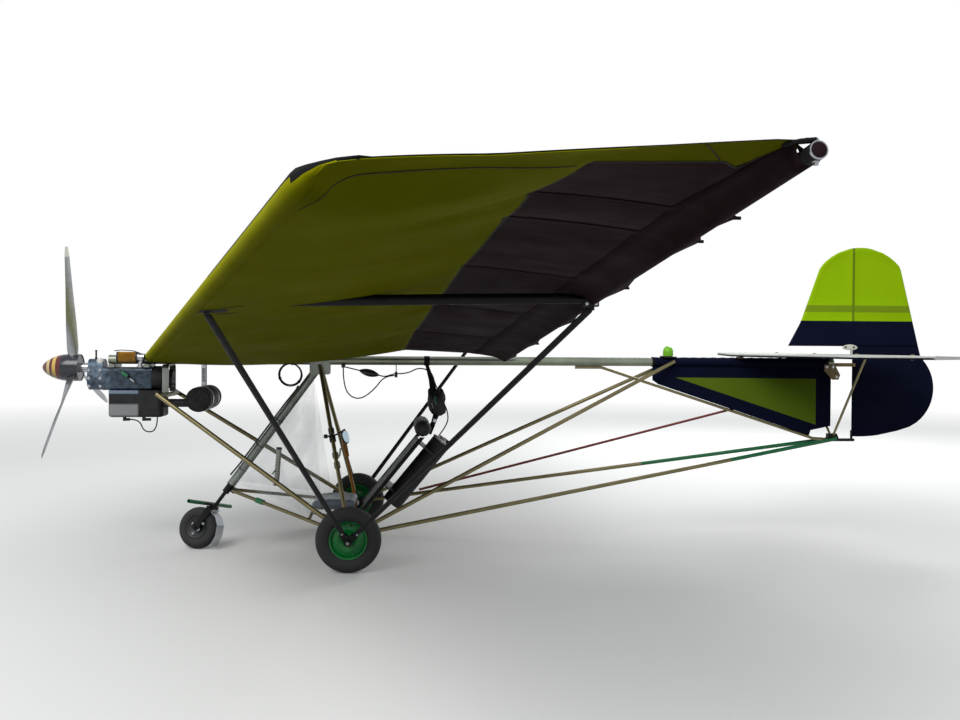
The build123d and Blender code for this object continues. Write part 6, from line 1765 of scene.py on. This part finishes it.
@dataclass
class Cockpit:
    """Seat, harness, controls and small instruments."""
    seat_foot: Vector = field(default_factory=lambda: Vector((-0.982, 0.0, 0.1883)))
    seat_way: Vector = field(default_factory=lambda: Vector((0.632, 0.0, 0.775)).normalized())
    cage_top: Vector = field(default_factory=lambda: Vector((-1.194, -0.050, 1.148)))
    axle_joint: Vector = field(default_factory=lambda: Vector((-0.982, -0.620, 0.1883)))
    nose_joint: Vector = field(default_factory=lambda: Vector((-1.742, -0.030, 0.366)))

    @property
    def seat_out(self) -> Vector:
        """Direction from the seat's face to behind it."""
        return Vector((self.seat_way.z, 0.0, -self.seat_way.x))

    def seat_point(self, up: float, y: float, back: float) -> Vector:
        """Point on the seat, by height along it, side and depth behind its plane."""
        return self.seat_foot + self.seat_way * up + self.seat_out * back + Vector((0, y, 0))

    def pan(self) -> None:
        """Seat pan: a pleated sling cushion with rounded edges, thinner at its sides, its black cloth
        coloured bluish grey as painted highlight.
        """
        low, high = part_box("seat_pan")
        shape = Shape("seat_pan_cushion", PAN_CLOTH)
        across, around = 46, 44
        mid_x, mid_z = (low[0] + high[0]) / 2, (low[2] + high[2]) / 2
        half_x, half_z = (high[0] - low[0]) / 2 - 0.004, (high[2] - low[2]) / 2 - 0.006
        rows = []
        for share in evenly(0.0, 1.0, across):
            y = low[1] + 0.006 + (high[1] - low[1] - 0.012) * share
            edge = min(share, 1 - share) * 2
            full = min(1.0, 0.42 + 0.58 * math.sin(min(edge / 0.16, 1.0) * math.pi / 2))
            row = []
            for turn in turns(around):
                cos_t, sin_t = math.cos(turn), math.sin(turn)
                x = half_x * math.copysign(abs(cos_t) ** 0.55, cos_t) * (0.94 + 0.06 * full)
                z = half_z * math.copysign(abs(sin_t) ** 0.75, sin_t) * full
                dish = 0.012 * math.sin(math.pi * share) * (1 if sin_t > 0 else 0.3)
                pleat = 0.0022 * math.cos(2 * math.pi * (x + half_x) / 0.024)
                row.append(Vector((mid_x + x, y, mid_z + z - dish + pleat * abs(sin_t))))
            rows.append(row)
        shape.skin(rows)
        piece = shape.finish("airframe", "seat_black", ("seat_pan",), 70.0)
        puffed(piece, 0.005)

    def back(self) -> None:
        """Seat back: cloth between the seat tubes, slightly hollow, with sewn ribs."""
        shape = Shape("seat_back_sling", SEAT_CLOTH)
        half, thick, foot, head, rounded = 0.190, 0.0105, 0.094, 0.654, 0.012
        rows = []
        for up in evenly(foot, head, 60):
            front, back = [], []
            for y in evenly(-half, half, 24):
                rim = min(1.0, (half - abs(y)) / rounded, (up - foot + 0.004) / rounded,
                          (head - up + 0.004) / rounded)
                ribs = 0.78 + 0.22 * abs(math.cos(math.pi * up / 0.07))
                puff = thick * math.sqrt(max(rim, 0.05)) * ribs
                dish = 0.003 * math.cos(math.pi * y / (2 * half))
                front.append(self.seat_point(up, y, -puff * 0.9 + dish))
                back.append(self.seat_point(up, y, puff * 0.6 + dish))
            rows.append(front + back[::-1])
        shape.skin(rows)
        piece = shape.finish("airframe", "seat_black", ("seat_back",), 60.0)

    def roll(self) -> None:
        """Headrest roll: a stuffed tube of cloth, gathered at its ends, with two seams."""
        low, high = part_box("headrest_roll")
        middle = Vector(((low[0] + high[0]) / 2, 0.0, (low[2] + high[2]) / 2))
        radius = (high[0] - low[0]) / 2 - 0.004
        shape = Shape("headrest_cushion", SEAT_CLOTH)
        rows = []
        around = 48
        for share in evenly(0.0, 1.0, 60):
            y = low[1] + (high[1] - low[1]) * share
            edge = min(share, 1 - share) * (high[1] - low[1])
            full = math.sqrt(max(1 - (1 - min(edge / 0.045, 1.0)) ** 2, 0.0)) * 0.82 + 0.18
            seam = 1 - 0.06 * math.exp(-((abs(share - 0.5) - 0.22) / 0.012) ** 2)
            row = []
            for turn in turns(around):
                gather = 1 + 0.05 * math.cos(12 * turn) * (1 - min(edge / 0.06, 1.0))
                reach = radius * full * seam * gather
                row.append(middle + Vector((reach * math.cos(turn), y, reach * math.sin(turn))))
            rows.append(row)
        shape.skin(rows)
        piece = shape.finish("airframe", "seat_black", ("headrest_roll",), 60.0)
        puffed(piece, 0.004)

    def harness(self) -> None:
        """Harness rolled into a slack bag with two pointed ears, hung under the keel."""
        shape = Shape("harness_bag", SEAT_CLOTH, GREEN_PLASTIC, WHITE_PAINT)
        rows = []
        middle = Vector((-0.440, -0.012, 0.0))
        stations = ((0.845, 0.020, 0.016), (0.862, 0.046, 0.030), (0.890, 0.054, 0.038),
                    (0.920, 0.056, 0.040), (0.950, 0.058, 0.036), (0.972, 0.056, 0.028),
                    (0.988, 0.050, 0.018), (0.996, 0.040, 0.010))
        around = 36
        for z, wide, deep in stations:
            row = []
            for turn in turns(around):
                crumple = 1 + 0.10 * math.sin(3 * turn + z * 60) + 0.05 * math.sin(7 * turn - z * 90)
                ear = 0.030 * smooth(z, 0.965, 0.996) * abs(math.cos(turn)) ** 3
                lean = 0.10 * (z - 0.845)
                row.append(middle + Vector((wide * crumple * math.cos(turn) - lean,
                                            deep * crumple * math.sin(turn), z + ear)))
            rows.append(row)
        shape.skin(rows)
        shape.block((-0.458, -0.052, 0.945), (0.012, 0.006, 0.060), 1, Matrix.Rotation(-0.2, 3, "Y"), 0.002)
        shape.block((-0.478, -0.050, 0.915), (0.008, 0.006, 0.040), 2, Matrix.Rotation(-0.3, 3, "Y"), 0.002)
        piece = shape.finish("airframe", "seat_black", (), 60.0)
        puffed(piece, 0.006)

    def harness_straps(self) -> None:
        """Straps that hold the bag under the keel, the shoulder straps below it and their buckle."""
        straps = Shape("harness_straps", STRAP_BLACK, STEEL)
        for y, end in ((-0.024, (-0.480, -0.034, 0.985)), (0.020, (-0.455, 0.020, 0.992))):
            top = Vector((-0.514, y, 1.178))
            self.strap(straps, [top, (top + Vector(end)) / 2 + Vector((0.006, 0, 0)), Vector(end)], 0.022)
        self.strap(straps, [Vector((-0.455, -0.020, 0.860)), Vector((-0.475, -0.060, 0.790)),
                            Vector((-0.500, -0.090, 0.735))], 0.030)
        self.strap(straps, [Vector((-0.440, 0.020, 0.860)), Vector((-0.470, 0.060, 0.790)),
                            Vector((-0.500, 0.095, 0.735))], 0.030)
        straps.collar((-0.514, 0.0, 1.202), (1, 0, 0), 0.018, 0.0295, 0.0315, 32)
        straps.block((-0.463, -0.047, 0.815), (0.026, 0.008, 0.030), 1, Matrix.Rotation(0.3, 3, "Y"), 0.003)
        straps.finish("airframe", "seat_black")

    def strap(self, shape: Shape, path: Sequence[Vector], width: float, slot: int = 0) -> None:
        """Lay a flat woven strap, 2 mm thick, along a short path, with its width square to Y."""
        rows = []
        for index, point in enumerate(path):
            before, after = path[max(index - 1, 0)], path[min(index + 1, len(path) - 1)]
            along = (after - before).normalized()
            wide = along.cross(Vector((0, 1, 0))).normalized()
            thin = along.cross(wide)
            rows.append([point + wide * width * a / 2 + thin * 0.001 * b
                         for a, b in ((-1, -1), (-0.5, -1), (0.5, -1), (1, -1), (1, 1), (0.5, 1),
                                      (-0.5, 1), (-1, 1))])
        shape.skin(rows, slot)

    def leg_point(self, share: float) -> Vector:
        """Point on the port leg of the cage, from its top to the axle."""
        return self.cage_top + (self.axle_joint - self.cage_top) * share

    def controls(self) -> None:
        """Mirror, its clamp and knob, the throttle lever and its clamps on the cage's port leg."""
        leg = (self.axle_joint - self.cage_top).normalized()
        shape = Shape("mirror_and_throttle", BLACK_PLASTIC, MIRROR_FACE, STEEL, CLEAR_TUBE)
        grip = self.leg_point(0.425)
        for share, long, radius in ((0.395, 0.034, 0.0185), (0.44, 0.040, 0.020), (0.54, 0.030, 0.019),
                                    (0.60, 0.036, 0.0185)):
            shape.collar(self.leg_point(share), leg, long / 2, 0.0127, radius)
        knob = grip + Vector((-0.014, -0.010, 0.0))
        shape.lathe(((0.0, 0.006), (0.014, 0.006), (0.016, 0.013), (0.034, 0.013), (0.037, 0.009)), knob,
                    (-1, -0.3, 0), 22, 0)
        middle = Vector((-1.025, -0.300, 0.737))
        shape.tube([grip, grip + Vector((0.03, -0.004, 0.012)), middle + Vector((0.0, 0.010, 0.045))],
                   0.0055, 10, 0)
        tilt = Matrix.Rotation(math.radians(-16), 3, "Y") @ Matrix.Rotation(math.radians(34), 3, "Z")
        for slot, grow, depth in ((0, 1.0, 0.0), (1, 0.84, -0.0065)):
            rows = []
            for place, scale in ((0.008 + depth, 0.80), (0.004 + depth, 0.97), (-0.004 + depth, 1.0),
                                 (-0.006 + depth, 0.95), (-0.0062 + depth, 0.0001)):
                rows.append([middle + tilt @ Vector((0.025 * grow * scale * math.cos(turn), place,
                                                     0.046 * grow * scale * math.sin(turn)))
                             for turn in turns(32)])
            made = shape.sheet(rows, slot, closed=True)
            shape.fan(made[0][::-1], slot)
        lever = self.leg_point(0.57)
        shape.tube([lever, lever + Vector((0.020, -0.006, 0.030)), lever + Vector((0.026, -0.008, 0.075))],
                   0.006, 10, 3)
        shape.finish("airframe", "fitting_black", (), 40.0)

    def airspeed(self) -> None:
        """Airspeed tube: a clear graduated tube with black ends, on a short arm."""
        shape = Shape("airspeed_tube", CLEAR_TUBE, BLACK_PLASTIC, WHITE_PAINT)
        low, high = Vector((-1.452, -0.205, 0.430)), Vector((-1.436, -0.205, 0.655))
        way = high - low
        shape.lathe(((0.0, 0.016), (way.length, 0.016)), low, way, 24, 0)
        for place in (-0.006, way.length - 0.006):
            shape.lathe(((0.0, 0.014), (0.002, 0.0178), (0.012, 0.0178), (0.014, 0.014)),
                        low + way.normalized() * place, way, 24, 1)
        for step in range(1, 12):
            shape.collar(low + way * step / 12, way, 0.0012, 0.0160, 0.0166, 24, 2)
        shape.tube([low + Vector((0, 0, 0.10)), Vector((-1.474, -0.232, 0.500))], 0.004, 8, 1)
        shape.finish("airframe", "fitting_black")

    def floor_sheet(self) -> None:
        """Clear floor sheet that widens aft from the nose, between the lower tubes."""
        shape = Shape("floor_sheet", VINYL)
        rows = []
        for share in evenly(0.0, 1.0, 24):
            x, half, z = (front + (rear - front) * share
                          for front, rear in ((-1.735, -1.16), (0.032, 0.455), (0.405, 0.262)))
            row = []
            for t in evenly(-1.0, 1.0, 16):
                sag = 0.016 * (1 - t * t) * math.sin(math.pi * share)
                ripple = 0.004 * math.sin(9 * t + 5 * share) * share
                row.append(Vector((x, half * t, z - sag + ripple)))
            rows.append(row)
        shape.sheet(rows)
        piece = shape.finish("airframe", "clear_sheet")

    def tank_details(self) -> None:
        """Tank cap and its collar."""
        shape = Shape("tank_cap", CAP_PLASTIC)
        top = self.seat_point(0.746, 0.0, 0.131)
        shape.lathe(((0.0, 0.030), (0.003, 0.0325), (0.016, 0.0325), (0.020, 0.030), (0.021, 0.012)), top,
                    self.seat_way, 36, 0)
        shape.lathe(((-0.012, 0.0655), (-0.012, 0.0668), (0.0, 0.0668), (0.002, 0.060)), top, self.seat_way,
                    48, 0, caps=False)
        shape.finish("airframe", "tank_black")

    def frame_details(self) -> None:
        """Lead on the down tube with its ties, and the coupling on the port lower tube."""
        shape = Shape("frame_clips", BLACK_PLASTIC, GREEN_PLASTIC)
        shape.tube([Vector(point) for point in
                    ((-1.335, -0.034, 1.040), (-1.352, -0.034, 1.010), (-1.420, -0.030, 0.925),
                     (-1.560, -0.028, 0.735), (-1.700, -0.026, 0.545), (-1.762, -0.024, 0.470))],
                   0.0055, 10, 0)
        top, foot = Vector((-1.214, 0.0, 1.153)), Vector((-1.760, 0.0, 0.407))
        for x in (-1.46, -1.58, -1.69):
            spot = top.lerp(foot, (x - top.x) / (foot.x - top.x))
            shape.collar(spot, top - foot, 0.003, 0.0275, 0.0290)
        shape.collar(self.nose_tube_point(0.245), self.axle_joint - self.nose_joint, 0.030, 0.0130,
                     0.0165, 24, 1)
        shape.finish("airframe", "fitting_black")

    def cable_coil(self) -> None:
        """Spare cable in a coil beside the keel, with three ties."""
        coil = Shape("cable_coil_turns", HOSE, STRAP_BLACK)
        middle = Vector((-1.385, -0.0345, 1.111))
        radius, depth = 0.070, 0.014
        laps, steps = 5, 48
        path = []
        for step in range(laps * steps + 1):
            turn = 2 * math.pi * step / steps
            lap = step / (laps * steps)
            reach = radius + 0.0042 * math.sin(2 * math.pi * lap * 2.3)
            path.append(middle + Vector((reach * math.cos(turn), depth * lap - depth / 2,
                                         reach * math.sin(turn))))
        coil.tube(path, 0.0036, 8)
        for degree in (80, 200, 320):
            turn = math.radians(degree)
            spot = middle + Vector((radius * math.cos(turn), 0.0, radius * math.sin(turn)))
            coil.collar(spot, (-math.sin(turn), 0, math.cos(turn)), 0.004, 0.0085, 0.0108, 16, 1)
        coil.finish("airframe", "hose_black", ("cable_coil",))

    def nose_tube_point(self, share: float) -> Vector:
        """Point on the port lower tube, from the nose to the axle."""
        return self.nose_joint + (self.axle_joint - self.nose_joint) * share

    def build(self) -> None:
        """Build the cockpit."""
        self.pan()
        self.back()
        self.roll()
        self.harness()
        self.harness_straps()
        self.controls()
        self.airspeed()
        self.floor_sheet()
        self.tank_details()
        self.frame_details()
        self.cable_coil()


NODE_FINISHES: dict[str, Finish] = {
    "keel_tube": KEEL_METAL, "wing_spars": KEEL_METAL,
    "axle": CLEAR_TUBE, "axle_fittings": STRUT_BLACK, "frame_tubes": FRAME_TUBE,
    "wheel_rim_port": WHEEL_GREEN, "wheel_rim_starboard": WHEEL_GREEN,
    "tyre_port": TYRE, "tyre_starboard": TYRE, "nose_tyre": TYRE, "nose_rim": RIM_DARK,
    "cage_bracket": CLEAR_TUBE, "down_tube": CLEAR_TUBE, "steering_head": STRUT_BLACK,
    "nose_fork": STRUT_BLACK, "foot_bar": FOOT_PAINT, "scrub_flap": FLAP_STEEL,
    "engine_mount": CLEAR_TUBE, "engine_case": CASE_CAST, "fan_and_starter": DRUM_BLACK,
    "cooling_shroud": SHROUD_BLACK, "gearbox": GEAR_CAST, "silencer": DRUM_BLACK,
    "plug_caps": BLACK_PLASTIC, "drum_hanger": STEEL, "prop_hub": STEEL, "prop_blades": BLADE_METAL,
    "fin_tube": OLIVE_TUBE, "tail_joint": STRUT_BLACK,
    "tail_hinges": TAN_PAINT, "elevator": PALE_CLOTH, "stab_struts": OLIVE_TUBE,
    "push_rod": RED_ROD, "bellcrank": TAN_PAINT, "seat_frame": STRUT_BLACK,
    "seat_rails": OLIVE_TUBE, "fuel_tank": TANK_PLASTIC, "tank_cradle": STRUT_BLACK,
    "control_stick": STICK_PAINT, "hose_fittings": BLACK_PLASTIC, "windshield": VINYL,
}


def main() -> None:
    """Load the frame, dress it, build the cords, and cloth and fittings."""
    logging.basicConfig(level=logging.INFO, format="%(message)s")
    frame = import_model()
    Studio().build()
    for lead in LEADS:
        lead.build()
    for node, finish in NODE_FINISHES.items():
        dress_node(frame, node, finish)
    for side in Side:
        Wing(side).build()
    Tail().build()
    Engine().build()
    Gear().build()
    Cockpit().build()


if __name__ == "__main__":
    main()
